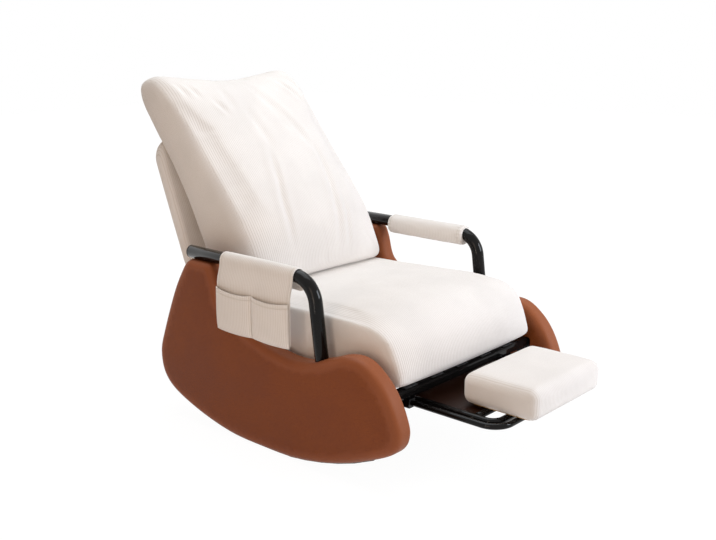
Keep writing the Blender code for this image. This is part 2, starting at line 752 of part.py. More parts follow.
def make_footrest():
    slide = joint_empty("footrest_slide", (0.0, 0.0, LEG_Z))
    inverse = Matrix.Translation((0.0, 0.0, -LEG_Z))
    corners = [
        (-LEG_X, LEG_REAR_Y, LEG_Z),
        (-LEG_X, FRONT_BAR_Y, LEG_Z),
        (LEG_X, FRONT_BAR_Y, LEG_Z),
        (LEG_X, LEG_REAR_Y, LEG_Z),
    ]
    path = bent_path(corners, FOOT_BEND_R)
    made = [tube("footrest_frame", path, LEG_R, LEG_WALL, BLACK_STEEL)]
    loop_x = LEG_X - LEG_R - LOOP_SLIT - LOOP_R
    loop_y = FRONT_BAR_Y + LEG_R + LOOP_SLIT + LOOP_R
    loop_z = FOOT_SEAT_Z - LOOP_R
    corners = [
        (-loop_x, APRON_REAR_Y, loop_z),
        (-loop_x, loop_y, loop_z),
        (loop_x, loop_y, loop_z),
        (loop_x, APRON_REAR_Y, loop_z),
    ]
    made.append(part("footrest_loop", rod(bent_path(corners, LOOP_BEND_R), LOOP_R, 10), BLACK_STEEL))
    reach = loop_x - LOOP_R - GAP
    bar = rod([(-reach, CROSSBAR_Y, loop_z), (reach, CROSSBAR_Y, loop_z)], CROSSBAR_R)
    made.append(part("footrest_crossbar", bar, BLACK_STEEL))
    for side, sign in SIDES:
        ends = [(sign * x, CROSSBAR_Y, loop_z) for x in (loop_x + LOOP_R + GAP, LEG_X - LEG_R - GAP)]
        made.append(part(side + "_loop_bridge", rod(ends, BRIDGE_R, 10), BLACK_STEEL))
    apron_front = CROSSBAR_Y + CROSSBAR_R + GAP
    outline = rectangle(2 * reach, APRON_REAR_Y - apron_front, APRON_CORNER_R)
    frame = Matrix.Translation((0.0, (APRON_REAR_Y + apron_front) / 2, loop_z))
    made.append(part("footrest_apron", extrusion([outline], APRON_THICKNESS, frame), LEATHER))
    made += make_pad()
    room = (GUIDE_WIDTH - 2 * GUIDE_WALL, GUIDE_HEIGHT - 2 * GUIDE_WALL)
    runner = rectangle(room[0] - 2 * RUNNING_GAP, room[1] - 2 * RUNNING_GAP, RUNNER_CORNER_R)
    for side, sign in SIDES:
        frame = length_frame(sign * LEG_X, LEG_REAR_Y + GAP + LEG_PLUG_LENGTH / 2, LEG_Z)
        made.append(part(side + "_leg_plug", extrusion([runner], LEG_PLUG_LENGTH, frame), BLACK_PLASTIC))
    for obj in made:
        obj.parent = slide
        obj.matrix_parent_inverse = inverse


def make_pad():
    """The foot pad, with its board let into the underside."""
    bottom = FOOT_SEAT_Z + GAP
    middle_y = (PAD_FRONT_Y + PAD_REAR_Y) / 2
    depth = PAD_REAR_Y - PAD_FRONT_Y
    board_depth = depth - 2 * BOARD_MARGIN
    frame = Matrix.Translation((0.0, middle_y, bottom + BOARD_THICKNESS / 2))
    outline = rectangle(2 * BOARD_HALF_WIDTH, board_depth, BOARD_CORNER_R)
    board = part("footrest_board", extrusion([outline], BOARD_THICKNESS, frame), PLYWOOD)
    front, rear = PAD_FRONT_Y, PAD_REAR_Y
    top = bottom + PAD_HEIGHT
    profile = [
        (rear, bottom),
        (rear + PAD_BULGE, bottom + PAD_HEIGHT * 0.5),
        (rear, top),
        (middle_y + depth * 0.2, top + PAD_BULGE),
        (middle_y - depth * 0.2, top + PAD_BULGE),
        (front, top),
        (front - PAD_BULGE, bottom + PAD_HEIGHT * 0.5),
        (front, bottom),
        (front + PAD_SIDE_R, bottom),
        (rear - PAD_SIDE_R, bottom),
    ]

    def shape(share, k):
        crown = PAD_CROWN * (1 - share**2) if k in (3, 4) else 0.0
        return Vector((0.0, 0.0, crown))

    mesh = cushion_mesh(profile, PAD_HALF_WIDTH, PAD_SIDE_R, shape)
    pad = part("footrest_pad", mesh, CREAM)
    soften(pad)
    room = rectangle(2 * (BOARD_HALF_WIDTH + GAP), board_depth + 2 * GAP, BOARD_CORNER_R)
    room_frame = Matrix.Translation((0.0, middle_y, bottom))
    cut(pad, cutter("board_room", extrusion([room], 2 * (BOARD_THICKNESS + GAP), room_frame)))
    return [board, pad]


# Seat cushion


def make_seat_cushion():
    depth = SEAT_REAR_Y - SEAT_FRONT_Y
    shares = [
        (0.014, 0.0),
        (0.0, 0.29),
        (0.0, 0.68),
        (0.042, 0.90),
        (0.266, 0.941),
        (0.488, 0.977),
        (0.695, 1.0),
        (0.864, 0.988),
        (0.961, 0.84),
        (0.999, 0.49),
        (1.0, 0.13),
        (0.968, 0.0),
        (0.681, 0.0),
        (0.307, 0.0),
    ]
    profile = [(SEAT_REAR_Y - depth * along, SEAT_BOTTOM_Z + SEAT_HEIGHT * up) for along, up in shares]
    crowns = {4: 0.1, 5: 0.7, 6: 1.0, 7: 0.8, 8: 0.4, 9: 0.3}
    forward = {7: 0.3, 8: 0.4, 9: 0.3, 10: 0.1}
    middle_y = (profile[0][0] + profile[10][0]) / 2
    reach = (profile[0][0] - profile[10][0]) / 2

    def shape(share, k):
        middle = 1 - share**2
        along = (profile[k][0] - middle_y) / reach
        draw = -SEAT_DRAW_IN * share * max(0.0, 1 - along**2)
        return Vector((
            draw,
            -SEAT_CROWN * forward.get(k, 0.0) * middle,
            SEAT_CROWN * crowns.get(k, 0.0) * middle,
        ))

    soften(part("seat_cushion", cushion_mesh(profile, SEAT_HALF_WIDTH, SEAT_SIDE_R, shape), CREAM))


# Back


def make_hinge(side, sign, axis):
    """A plate bracket on the rear rail and an arm on the back, turning on one pin."""
    top_arc = [
        (HINGE_HEAD_R * math.cos(math.radians(a)), HINGE_HEAD_R * math.sin(math.radians(a)))
        for a in range(-20, 201, 20)
    ]
    foot = RAIL_TOP_Z + GAP - HINGE_Z
    outline = [(-RAIL_DEPTH / 2, foot), (RAIL_DEPTH / 2, foot)] + top_arc
    bore = circle(PIN_R + RUNNING_GAP, 16)
    bracket_frame = side_frame(sign * (BRACKET_X + HINGE_PLATE / 2), HINGE_Y, HINGE_Z)
    bracket = extrusion([outline, bore], HINGE_PLATE, bracket_frame)
    part(side + "_hinge_bracket", bracket, BLACK_STEEL)
    half = HINGE_ARM_WIDTH / 2
    spread = math.degrees(math.acos(half / HINGE_HEAD_R))
    count = 12
    start = 180 - spread
    sweep = 180 + 2 * spread
    head = []
    for k in range(count + 1):
        a = math.radians(start + sweep * k / count)
        head.append((HINGE_HEAD_R * math.cos(a), HINGE_HEAD_R * math.sin(a)))
    outline = head + [(half, HINGE_ARM_LENGTH), (-half, HINGE_ARM_LENGTH)]
    arm = extrusion([outline, bore], HINGE_PLATE, side_frame(sign * (HINGE_ARM_X + HINGE_PLATE / 2)))
    part(side + "_hinge_arm", arm, BLACK_STEEL, axis)
    span = 2 * HINGE_PLATE + 3 * GAP
    profile = [
        (0.0, PIN_HEAD + GAP),
        (PIN_HEAD_R * 0.8, PIN_HEAD + GAP),
        (PIN_HEAD_R, PIN_HEAD * 0.5),
        (PIN_HEAD_R, GAP),
        (PIN_R, GAP),
        (PIN_R, -span),
        (PIN_HEAD_R * 0.8, -span),
        (PIN_HEAD_R * 0.8, -span - PIN_HEAD),
        (0.0, -span - PIN_HEAD),
    ]
    outer = Matrix.Translation((sign * (BRACKET_X + HINGE_PLATE), HINGE_Y, HINGE_Z))
    frame = outer @ Matrix.Rotation(sign * math.pi / 2, 4, "Y")
    turned(side + "_hinge_pin", profile, frame, BLACK_STEEL, sides=16)


def back_tube_path():
    foot = BACK_TUBE_FOOT
    top = BACK_TUBE_TOP
    x = BACK_TUBE_X
    return bent_path([(-x, 0, foot), (-x, 0, top), (x, 0, top), (x, 0, foot)], BACK_TUBE_BEND_R)


def back_panel_mesh(extra):
    """The padded panel, in the back's own frame, or the room that it takes."""
    width = 2 * (BACK_PANEL_HALF_WIDTH + extra)
    height = BACK_PANEL_TOP - BACK_PANEL_FOOT + 2 * extra
    frame = length_frame(0.0, 0.0, (BACK_PANEL_TOP + BACK_PANEL_FOOT) / 2)
    outline = rectangle(width, height, BACK_PANEL_CORNER_R, steps=5)
    return extrusion([outline], BACK_PANEL_THICKNESS + 2 * extra, frame, BACK_PANEL_EDGE_R, 2)


def make_back():
    axis = joint_empty("recline_axis", (0.0, HINGE_Y, HINGE_Z), -BACK_LEAN)
    tube("backrest_frame", back_tube_path(), BACK_TUBE_R, BACK_TUBE_WALL, BLACK_STEEL, axis)
    panel = part("backrest_panel", back_panel_mesh(0.0), CREAM, axis)
    cut(panel, cutter("frame_channel", rod(back_tube_path(), BACK_TUBE_R + GAP), axis))
    for side, sign in SIDES:
        make_hinge(side, sign, axis)
    make_back_cushion(axis)


def make_back_cushion(axis):
    """The loose back cushion: thick at the small of the back, with ears at its top corners."""
    shares = [
        (0.348, 0.0),
        (0.433, 0.063),
        (0.522, 0.205),
        (0.670, 0.444),
        (0.880, 0.695),
        (1.0, 0.855),
        (0.978, 0.950),
        (0.818, 1.0),
        (0.668, 0.913),
        (0.455, 0.683),
        (0.230, 0.435),
        (0.070, 0.249),
        (0.0, 0.081),
        (0.036, 0.0),
    ]
    profile = []
    for along, up in shares:
        y = BACK_CUSHION_FRONT_Y + BACK_CUSHION_REACH * along
        profile.append((y, BACK_CUSHION_FOOT_Z + BACK_CUSHION_RISE * up))
    front = {8: 0.4, 9: 0.6, 10: 1.0, 11: 1.0, 12: 0.8}
    ears = {5: 0.4, 6: 1.0, 7: 1.0, 8: 0.4}
    lean = BACK_CUSHION_FACE_LEAN
    forward = Vector((0.0, -math.cos(lean), math.sin(lean)))
    upward = Vector((0.0, math.sin(lean), math.cos(lean)))
    low = profile[0][1]
    high = profile[7][1]

    def shape(share, k):
        middle = 1 - share**2
        along = 2 * (profile[k][1] - low) / (high - low) - 1
        draw = -BACK_CUSHION_DRAW_IN * share * max(0.0, 1 - along**2)
        sag = -BACK_CUSHION_TOP_SAG * middle * max(0.0, along) ** 3
        crown = BACK_CUSHION_CROWN * front.get(k, 0.0) * middle
        ear = BACK_CUSHION_EAR * ears.get(k, 0.0) * share**6
        sideways = draw + math.copysign(ear, share) / 3
        return Vector((sideways, 0.0, 0.0)) + crown * forward + (sag + ear) * upward

    mesh = cushion_mesh(profile, BACK_CUSHION_HALF_WIDTH, BACK_CUSHION_SIDE_R, shape)
    obj = part("back_cushion", mesh, CREAM, axis)
    stand = Matrix.Translation((0.0, HINGE_Y, HINGE_Z)) @ Matrix.Rotation(-BACK_LEAN, 4, "X")
    obj.matrix_parent_inverse = stand.inverted()
    soften(obj)
    cut(obj, cutter("panel_room", back_panel_mesh(GAP), axis))


SIDES = (("right", -1), ("left", 1))

clear_scene()
parts = new_collection("rocking_recliner")
cutters = new_collection("cutters")
for side_name, side_sign in SIDES:
    make_rocker(side_name, side_sign)
    make_arm(side_name, side_sign)
    make_guide(side_name, side_sign)
make_sleeve()
make_arm_cover()
for rail_place, rail_y in bolt_places():
    make_rail(rail_place, rail_y)
make_straps()
make_seat_cushion()
make_back()
make_footrest()
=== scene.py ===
"""Looks of the rocking recliner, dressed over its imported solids.

Metres, +Z up, in the solids' own frame: the sitter faces -Y and the sitter's right is -X.
"""

import json
import math

import bmesh
import bpy
import numpy as np
from mathutils import Matrix, Vector, geometry, noise

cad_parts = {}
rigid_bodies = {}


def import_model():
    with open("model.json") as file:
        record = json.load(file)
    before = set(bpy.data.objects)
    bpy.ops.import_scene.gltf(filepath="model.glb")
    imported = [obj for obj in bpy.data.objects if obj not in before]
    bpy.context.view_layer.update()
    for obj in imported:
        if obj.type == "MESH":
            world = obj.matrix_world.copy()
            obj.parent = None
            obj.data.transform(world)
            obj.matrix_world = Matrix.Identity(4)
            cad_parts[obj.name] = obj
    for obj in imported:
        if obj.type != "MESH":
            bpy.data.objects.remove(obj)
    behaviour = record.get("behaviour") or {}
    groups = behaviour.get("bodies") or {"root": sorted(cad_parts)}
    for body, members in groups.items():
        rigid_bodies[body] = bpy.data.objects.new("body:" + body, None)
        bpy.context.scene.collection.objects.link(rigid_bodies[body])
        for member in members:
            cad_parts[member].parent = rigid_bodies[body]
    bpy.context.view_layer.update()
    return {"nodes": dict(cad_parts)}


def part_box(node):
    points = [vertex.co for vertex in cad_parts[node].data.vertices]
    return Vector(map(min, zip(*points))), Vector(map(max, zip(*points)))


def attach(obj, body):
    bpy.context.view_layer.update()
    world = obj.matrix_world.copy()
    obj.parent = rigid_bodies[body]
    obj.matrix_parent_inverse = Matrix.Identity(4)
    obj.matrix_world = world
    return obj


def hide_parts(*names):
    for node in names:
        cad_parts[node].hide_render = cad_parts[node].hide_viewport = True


for leftover in list(bpy.data.objects):
    bpy.data.objects.remove(leftover, do_unlink=True)
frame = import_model()

# Sizes repeated from the solids
GAP = 0.0003
PANEL_INNER_X = 0.312
PANEL_THICKNESS = 0.058
PANEL_EDGE_R = 0.018
PANEL_MID_X = PANEL_INNER_X + PANEL_THICKNESS / 2
PANEL_OUTER_X = PANEL_INNER_X + PANEL_THICKNESS
ROCK_RADIUS = 0.92
ROCK_CENTRE_Y = 0.046
FLAT_HALF = 0.095
ARC_REAR_Y = 0.416
ARC_FRONT_Y = -0.379
HEEL_Y = 0.464
TOE_Y = -0.424
HORN_REAR_Y = 0.321
HORN_FRONT_Y = 0.226
SADDLE_Z = 0.272
BUMP_Z = 0.319
STRIP_THICKNESS = 0.003
ARM_TUBE_R = 0.0175
ARM_Z = 0.484
ARM_REAR_Y = 0.333
ARM_FOOT_Y = -0.154
ARM_LEG_LEAN = math.radians(7.6)
ARM_BEND_R = 0.067
ARM_SOCKET_DEPTH = 0.045
SLEEVE_R = 0.0275
SLEEVE_DROP = 0.007
SLEEVE_FRONT_Y = -0.089
SLEEVE_REAR_Y = 0.191
COVER_FRONT_Y = -0.076
COVER_REAR_Y = 0.195
CLOTH_THICKNESS = 0.002
FLAP_BOTTOM_Z = 0.302
FLAP_STRAIGHT_Z = 0.425
INNER_FLAP_Z = 0.440
POUCH_MOUTH_Z = 0.418
SEAT_BOTTOM_Z = 0.2264
SEAT_REAR_Y = 0.348
SEAT_FRONT_Y = -0.374
SEAT_HEIGHT = 0.167
SEAT_HALF_WIDTH = 0.306
SEAT_SIDE_R = 0.011
SEAT_DRAW_IN = 0.008
SEAT_CROWN = 0.026
SEAT_NARROWING = 0.012      # how much each side draws in at the front corners
LEG_X = 0.2155
LEG_R = 0.0075
LEG_Z = 0.185
LEG_REAR_Y = -0.004
FRONT_BAR_Y = -0.589
FOOT_BEND_R = 0.050
CROSSBAR_R = 0.009
CROSSBAR_Y = -0.503
LOOP_R = 0.009
LOOP_SLIT = 0.012
LOOP_BEND_R = 0.030
APRON_REAR_Y = -0.294
APRON_THICKNESS = 0.006
APRON_EDGE_R = 0.0025
PAD_HALF_WIDTH = 0.154
PAD_FRONT_Y = -0.646
PAD_REAR_Y = -0.436
PAD_HEIGHT = 0.0755
HINGE_Y = 0.393
HINGE_Z = 0.285
BACK_LEAN = math.radians(21.5)
BACK_COS, BACK_SIN = math.cos(BACK_LEAN), math.sin(BACK_LEAN)
BACK_PANEL_HALF_WIDTH = 0.270
BACK_PANEL_THICKNESS = 0.042
BACK_PANEL_FOOT = 0.085
BACK_PANEL_TOP = 0.512
BACK_PANEL_CORNER_R = 0.070
BACK_TUBE_R = 0.011
BACK_TUBE_X = 0.235
BACK_TUBE_FOOT = 0.018
BACK_TUBE_TOP = 0.490
BACK_TUBE_BEND_R = 0.060
BACK_CUSHION_HALF_WIDTH = 0.271
BACK_CUSHION_SIDE_R = 0.026
BACK_CUSHION_DRAW_IN = 0.010
BACK_CUSHION_CROWN = 0.030
BACK_CUSHION_TOP_SAG = 0.036
BACK_CUSHION_FRONT_Y = 0.152
BACK_CUSHION_REACH = 0.506
BACK_CUSHION_FOOT_Z = 0.3895
BACK_CUSHION_RISE = 0.553
BACK_CUSHION_EAR = 0.034
BACK_CUSHION_FACE_LEAN = math.radians(33)

# Looks
WALE = 0.0058               # pitch of the corduroy's ribs
FAR = 1.0                   # a seam distance that means no seam near
SIDE_FROM = 0.72            # sideways share of the normal from which a face is a cushion's side
SEAM_WIDTH = 0.0018
OUTLINE_STEP = 0.006        # spacing of the points on a rocker side's outline
RIM_SWELL = 0.0012          # a rocker side's padding past its cut outline
FACE_CROWN = 0.0016         # and its rise on the flat faces
SLEEVE_ROUND = 0.14         # share of the sleeve's half length that rounds off
SLEEVE_SQUARE = 2.7         # 2 is a round section, more is a squarer one
STRAP_SHOWN = 0.0018
COVER_SHOWN = 0.0036        # the cover's thickness as shown, with its pile
COVER_HEM = 0.009
POUCH_SHOWN = 0.0024
POUCH_HEM = 0.010
POUCH_BULGE = 0.0115
POUCH_SAG = 0.007           # how far the mouth hangs in its middle
PAD_EDGE_R = 0.024
PAD_CROWN = 0.0050
PAD_SIDE_PUFF = (0.0022, 0.0024)
SOLID_EDGE_R = 0.0007       # rounding of the painted and moulded solids' edges
SEAT_CLEAR = 0.0015         # room between the seat's cover and the rocker sides
SEAT_MESH = 0.005           # size of the even mesh under the seat's cover
SEAT_HELD = 0.012           # height above the seat's bottom to which its cover is held
SEAT_SWELL = (0.005, 90)    # the most that the cover moves, and how often that is evened out
PILLOW_FOOT_Z = 0.3905      # the back cushion's cover stays above the seat
PILLOW_MESH = 0.006
PILLOW_HELD_Z = 0.400       # below this height the back cushion's cover is held
PILLOW_SWELL = (0.008, 3)
PILLOW_CLEAR = 0.0006       # room between the back cushion's cover and the panel
FACE_RISE = (0.0, 0.60514, 0.79612)     # up the back cushion's face
CREASE_FOOT = (0.056, 0.1395)   # Y and Z of the creases' zero, from the cushion's lower front edge
CREASE_DEPTH = 0.62         # share of each crease's full depth
EASE_BELOW_Z = 0.21         # the rocker's heel and toe are rounded below this height
EASE_ROUNDS = 60
EDGE_ROUNDS = 120           # how softly the back cushion's front edges are rounded,
EDGE_FROM_Z = 0.410         # from its foot
EDGE_TO_Z = 0.875           # to its ears
EDGE_FADE = (0.050, 0.080)  # how slowly the rounding begins and ends there
FAR_EDGE_SHARE = 0.3        # and its share on the left edge
CLOTH_FRAMES = 20
CLOTH = {
    "quality": 4,
    "mass": 0.35,
    "tension_stiffness": 18,
    "compression_stiffness": 18,
    "shear_stiffness": 8,
    "bending_stiffness": 0.6,
    "use_pressure": True,
    "uniform_pressure_force": 4.0,
    "vertex_group_mass": "held",
}

# Stage
CAMERA_LENS = 49.84
CAMERA_PLACE = (-2.0019, -1.7445, 1.0962)
CAMERA_TURN = (75.763, 0.0, -48.41)
FLOOR_DROP = 0.0004
FLOOR_GLOW = 1.06
SHADOW_REACH = (0.8, 2.4)   # distances from the middle between which the floor's shadow fades out
SHADOW_GLOW = 0.91          # the floor's own white at the smaller of them
AMBIENT = (1.0, 0.77, 0.61, 1)
AMBIENT_STRENGTH = 0.27
AIM = (0.0, 0.05, 0.45)
LAMPS = (
    # name, place, aim, size, watts, colour
    ("key", (1.5, -2.9, 1.75), AIM, (1.4, 1.4), 85, (0.85, 0.91, 1.0)),
    ("top", (0.2, 0.6, 3.2), AIM, (2.6, 2.6), 64, (0.88, 0.95, 1.0)),
    ("side", (-2.7, -0.9, 1.0), AIM, (1.0, 1.6), 11, (1.0, 0.76, 0.58)),
    ("strip", (-2.0, -0.55, 0.31), (-0.3, 0.0, 0.31), (0.05, 0.6), 2.2, (1.0, 0.88, 0.78)),
)


# Shading nodes


def feed(tree, socket, value):
    if isinstance(value, bpy.types.NodeSocket):
        tree.links.new(value, socket)
    else:
        socket.default_value = value


def add(tree, kind, settings=None, **inputs):
    made = tree.nodes.new("ShaderNode" + kind)
    for name, value in (settings or {}).items():
        setattr(made, name, value)
    for name, value in inputs.items():
        feed(tree, made.inputs[name.replace("_", " ")], value)
    return made


def calc(tree, operation, first, second=0.0):
    made = tree.nodes.new("ShaderNodeMath")
    made.operation = operation
    feed(tree, made.inputs[0], first)
    feed(tree, made.inputs[1], second)
    return made.outputs[0]


def blended(tree, share, first, second):
    """A colour between two, by a share from 0 to 1."""
    made = tree.nodes.new("ShaderNodeMix")
    made.data_type = "RGBA"
    feed(tree, made.inputs[0], share)
    feed(tree, made.inputs[6], first)
    feed(tree, made.inputs[7], second)
    return made.outputs[2]


def ranged(tree, value, low, high, to_low=0.0, to_high=1.0):
    made = add(tree, "MapRange", {"interpolation_type": "SMOOTHSTEP"}, Value=value)
    limits = {"From Min": low, "From Max": high, "To Min": to_low, "To Max": to_high}
    for socket, number in limits.items():
        made.inputs[socket].default_value = number
    return made.outputs[0]


def rgb(red, green, blue):
    """A colour given as sRGB numbers from 0 to 255, made linear."""
    linear = []
    for number in (red, green, blue):
        share = number / 255
        linear.append(share / 12.92 if share <= 0.04045 else ((share + 0.055) / 1.055) ** 2.4)
    return (*linear, 1.0)


def new_material(name):
    """A new material with its node tree, its shader and the place on the object."""
    made = bpy.data.materials.new(name)
    made.use_nodes = True
    tree = made.node_tree
    return made, tree, tree.nodes["Principled BSDF"], add(tree, "TexCoord").outputs["Object"]


def speckle(tree, place, scale, detail, **more):
    """Smooth noise from 0 to 1."""
    return add(tree, "TexNoise", Vector=place, Scale=scale, Detail=detail, **more).outputs["Fac"]


def weighed(tree, *pairs):
    """The sum of some values, each times its weight."""
    total = 0.0
    for value, weight in pairs:
        total = calc(tree, "ADD", total, calc(tree, "MULTIPLY", value, weight))
    return total


def toned(colour, tone):
    return (*(tone * part for part in colour[:3]), 1.0)


def waves(tree, distance, pitch):
    return calc(tree, "SINE", calc(tree, "MULTIPLY", distance, 2 * math.pi / pitch))


def surface(tree, shader, colour, roughness, height, distance, strength, **others):
    """Wires a colour, a roughness and a bump into the shader, and sets other inputs."""
    bump = add(tree, "Bump", Height=height, Distance=distance, Strength=strength)
    tree.links.new(colour, shader.inputs["Base Color"])
    tree.links.new(roughness, shader.inputs["Roughness"])
    tree.links.new(bump.outputs[0], shader.inputs["Normal"])
    for name, value in others.items():
        shader.inputs[name.replace("_", " ")].default_value = value


def groove_at(tree, attribute, width):
    """1 on a line where the named distance is 0, falling to 0 beside it."""
    distance = add(tree, "Attribute", {"attribute_name": attribute}).outputs["Fac"]
    share = calc(tree, "DIVIDE", distance, width)
    square = calc(tree, "POWER", share, 2.0)
    return calc(tree, "POWER", math.e, calc(tree, "MULTIPLY", square, -1.0))


def corduroy(name, wale_colour, valley_colour):
    """Ribbed fabric: ribs by the map named ribs, in metres, and hems by the distance named seam."""
    made, tree, shader, place = new_material(name)
    ribs = add(tree, "UVMap", {"uv_map": "ribs"}).outputs["UV"]
    across = add(tree, "SeparateXYZ", Vector=ribs).outputs["X"]
    across = weighed(tree, (across, 1.0), (speckle(tree, place, 11.0, 2.0), 0.0035))
    wave = calc(tree, "COSINE", calc(tree, "MULTIPLY", across, math.pi / WALE))
    rib = calc(tree, "POWER", calc(tree, "ABSOLUTE", wave), 0.55)
    fuzz = speckle(tree, place, 900.0, 3.0, Roughness=0.6)
    pile = speckle(tree, place, 75.0, 3.0)
    groove = groove_at(tree, "seam", SEAM_WIDTH)
    height = weighed(tree, (rib, 1.0), (fuzz, 0.30), (pile, 0.35), (groove, -2.6))
    broad = ranged(tree, speckle(tree, place, 7.0, 3.0), 0.35, 0.68)
    colour = blended(tree, broad, wale_colour, toned(wale_colour, 0.94))
    colour = blended(tree, ranged(tree, rib, 0.15, 0.75), valley_colour, colour)
    colour = blended(tree, calc(tree, "MULTIPLY", groove, 0.55), colour, valley_colour)
    roughness = ranged(tree, fuzz, 0.2, 0.8, 0.84, 0.96)
    surface(tree, shader, colour, roughness, height, 0.0007, 0.55,
            Specular_IOR_Level=0.22, Sheen_Weight=0.18, Sheen_Roughness=0.45)
    return made


def leatherette(name, tone):
    """Fine-grained brown leatherette, with a paler brown painted on the padded edge as its
    highlight.
    """
    made, tree, shader, place = new_material(name)
    warp = add(tree, "TexNoise", Vector=place, Scale=160.0, Detail=2.0)
    bent = add(tree, "Mix", {"data_type": "VECTOR"})
    bent.inputs[0].default_value = 0.006
    tree.links.new(place, bent.inputs[4])
    tree.links.new(warp.outputs["Color"], bent.inputs[5])
    edges = {"feature": "DISTANCE_TO_EDGE"}
    cells = add(tree, "TexVoronoi", edges, Vector=bent.outputs[1], Scale=620.0)
    grain = ranged(tree, cells.outputs["Distance"], 0.0, 0.22)
    fine = speckle(tree, place, 2200.0, 2.0)
    broad = speckle(tree, place, 5.0, 4.0, Roughness=0.55)
    soft = speckle(tree, place, 22.0, 2.0)
    height = weighed(tree, (grain, 0.55), (fine, 0.2), (soft, 0.8))
    rim = add(tree, "Attribute", {"attribute_name": "rim"}).outputs["Fac"]
    browns = ((105, 51, 21), (131, 66, 28), (142, 75, 33), (168, 103, 72))
    dark, plain, light, rim_highlight_brown = (toned(rgb(*brown), tone) for brown in browns)
    colour = blended(tree, ranged(tree, broad, 0.3, 0.7), plain, light)
    colour = blended(tree, ranged(tree, grain, 0.0, 0.7), dark, colour)
    # The paler brown blended in by rim is a painted highlight along the padded edge.
    colour = blended(tree, calc(tree, "MULTIPLY", rim, 0.45), colour, rim_highlight_brown)
    roughness = ranged(tree, broad, 0.2, 0.8, 0.38, 0.50)
    surface(tree, shader, colour, roughness, height, 0.0005, 0.30, Specular_IOR_Level=0.14)
    return made


def black_paint(name):
    """Glossy black powder coat with a faint orange peel."""
    made, tree, shader, place = new_material(name)
    peel = speckle(tree, place, 260.0, 2.0)
    smear = speckle(tree, place, 24.0, 4.0)
    streak = ranged(tree, smear, 0.3, 0.7)
    colour = blended(tree, streak, (0.004, 0.004, 0.004, 1), (0.007, 0.006, 0.006, 1))
    roughness = ranged(tree, smear, 0.25, 0.75, 0.05, 0.09)
    surface(tree, shader, colour, roughness, peel, 0.00025, 0.10, Specular_IOR_Level=0.16)
    return made


def moulded(name, dark, light, roughness, pebble):
    """Moulded plastic or rubber with a fine pebbled skin."""
    made, tree, shader, place = new_material(name)
    cells = add(tree, "TexVoronoi", Vector=place, Scale=pebble).outputs["Distance"]
    broad = speckle(tree, place, 40.0, 3.0)
    colour = blended(tree, ranged(tree, broad, 0.3, 0.7), dark, light)
    rough = ranged(tree, broad, 0.2, 0.8, roughness - 0.06, roughness + 0.06)
    surface(tree, shader, colour, rough, cells, 0.0003, 0.25)
    return made


def plywood(name):
    """Pale plywood with long grain along Y."""
    made, tree, shader, place = new_material(name)

    def drawn_out(scale):
        mapped = add(tree, "Mapping", Vector=place)
        mapped.inputs["Scale"].default_value = scale
        return mapped.outputs[0]

    figure = speckle(tree, drawn_out((30.0, 2.2, 30.0)), 2.4, 5.0, Distortion=0.6)
    pore = speckle(tree, drawn_out((900.0, 60.0, 900.0)), 1.0, 2.0)
    figured = ranged(tree, figure, 0.32, 0.68)
    colour = blended(tree, figured, rgb(206, 176, 134), rgb(176, 140, 97))
    colour = blended(tree, ranged(tree, pore, 0.62, 0.78, 0.0, 0.5), colour, rgb(128, 96, 62))
    surface(tree, shader, colour, ranged(tree, figure, 0.2, 0.8, 0.55, 0.7), pore, 0.0003, 0.3)
    return made


def webbing(name):
    """Black elastic webbing: a close weave across and along the strap."""
    made, tree, shader, place = new_material(name)
    split = add(tree, "SeparateXYZ", Vector=place).outputs
    weave = calc(tree, "MULTIPLY", waves(tree, split["X"], 0.0024), waves(tree, split["Y"], 0.0030))
    stripe = ranged(tree, waves(tree, split["X"], 0.0245), 0.75, 0.95, 0.0, 0.5)
    thread = ranged(tree, weave, -0.6, 0.7)
    colour = blended(tree, thread, (0.010, 0.010, 0.011, 1), (0.035, 0.034, 0.036, 1))
    colour = blended(tree, stripe, colour, (0.10, 0.095, 0.09, 1))
    surface(tree, shader, colour, ranged(tree, weave, -1.0, 1.0, 0.8, 0.92), weave, 0.0005, 0.5)
    return made


CREAM = corduroy("cream_corduroy_cloth", rgb(240, 236, 232), rgb(218, 211, 203))
LEATHER = leatherette("brown_leatherette_skin", 1.0)
# A copy of the same leatherette with its browns darkened to 0.09: painted shade for the apron under
# the seat and pad.
LEATHER_DARKENED_AS_SHADE = leatherette("brown_leatherette_painted_shade", 0.09)
PAINT = black_paint("black_gloss_paint")
PLASTIC = moulded(
    "black_moulded_plastic", (0.010, 0.010, 0.011, 1), (0.018, 0.018, 0.019, 1), 0.46, 900.0
)
RUBBER = moulded(
    "black_rubber_skin", (0.011, 0.011, 0.011, 1), (0.022, 0.021, 0.020, 1), 0.80, 500.0
)
WOOD = plywood("pale_plywood")
WEBBING = webbing("black_webbing_weave")


# Mesh helpers


def mesh_object(name, mesh):
    obj = bpy.data.objects.new(name, mesh)
    bpy.context.scene.collection.objects.link(obj)
    return obj


def new_object(name, verts, faces):
    mesh = bpy.data.meshes.new(name)
    mesh.from_pydata([tuple(v) for v in verts], [], faces)
    mesh.update()
    return mesh_object(name, mesh)


def bmesh_object(name, shape):
    mesh = bpy.data.meshes.new(name)
    shape.to_mesh(mesh)
    shape.free()
    return mesh_object(name, mesh)


def fix_normals(mesh):
    shape = bmesh.new()
    shape.from_mesh(mesh)
    bmesh.ops.recalc_face_normals(shape, faces=shape.faces)
    shape.to_mesh(mesh)
    shape.free()
    mesh.update()


def apply_modifiers(obj):
    graph = bpy.context.evaluated_depsgraph_get()
    mesh = bpy.data.meshes.new_from_object(obj.evaluated_get(graph))
    old = obj.data
    obj.modifiers.clear()
    obj.data = mesh
    mesh.name = obj.name
    bpy.data.meshes.remove(old)


def read_points(mesh, what):
    flat = np.empty(len(mesh.vertices) * 3, np.float32)
    mesh.vertices.foreach_get(what, flat)
    return flat.reshape(-1, 3).astype(float)


def coords(mesh):
    return read_points(mesh, "co")


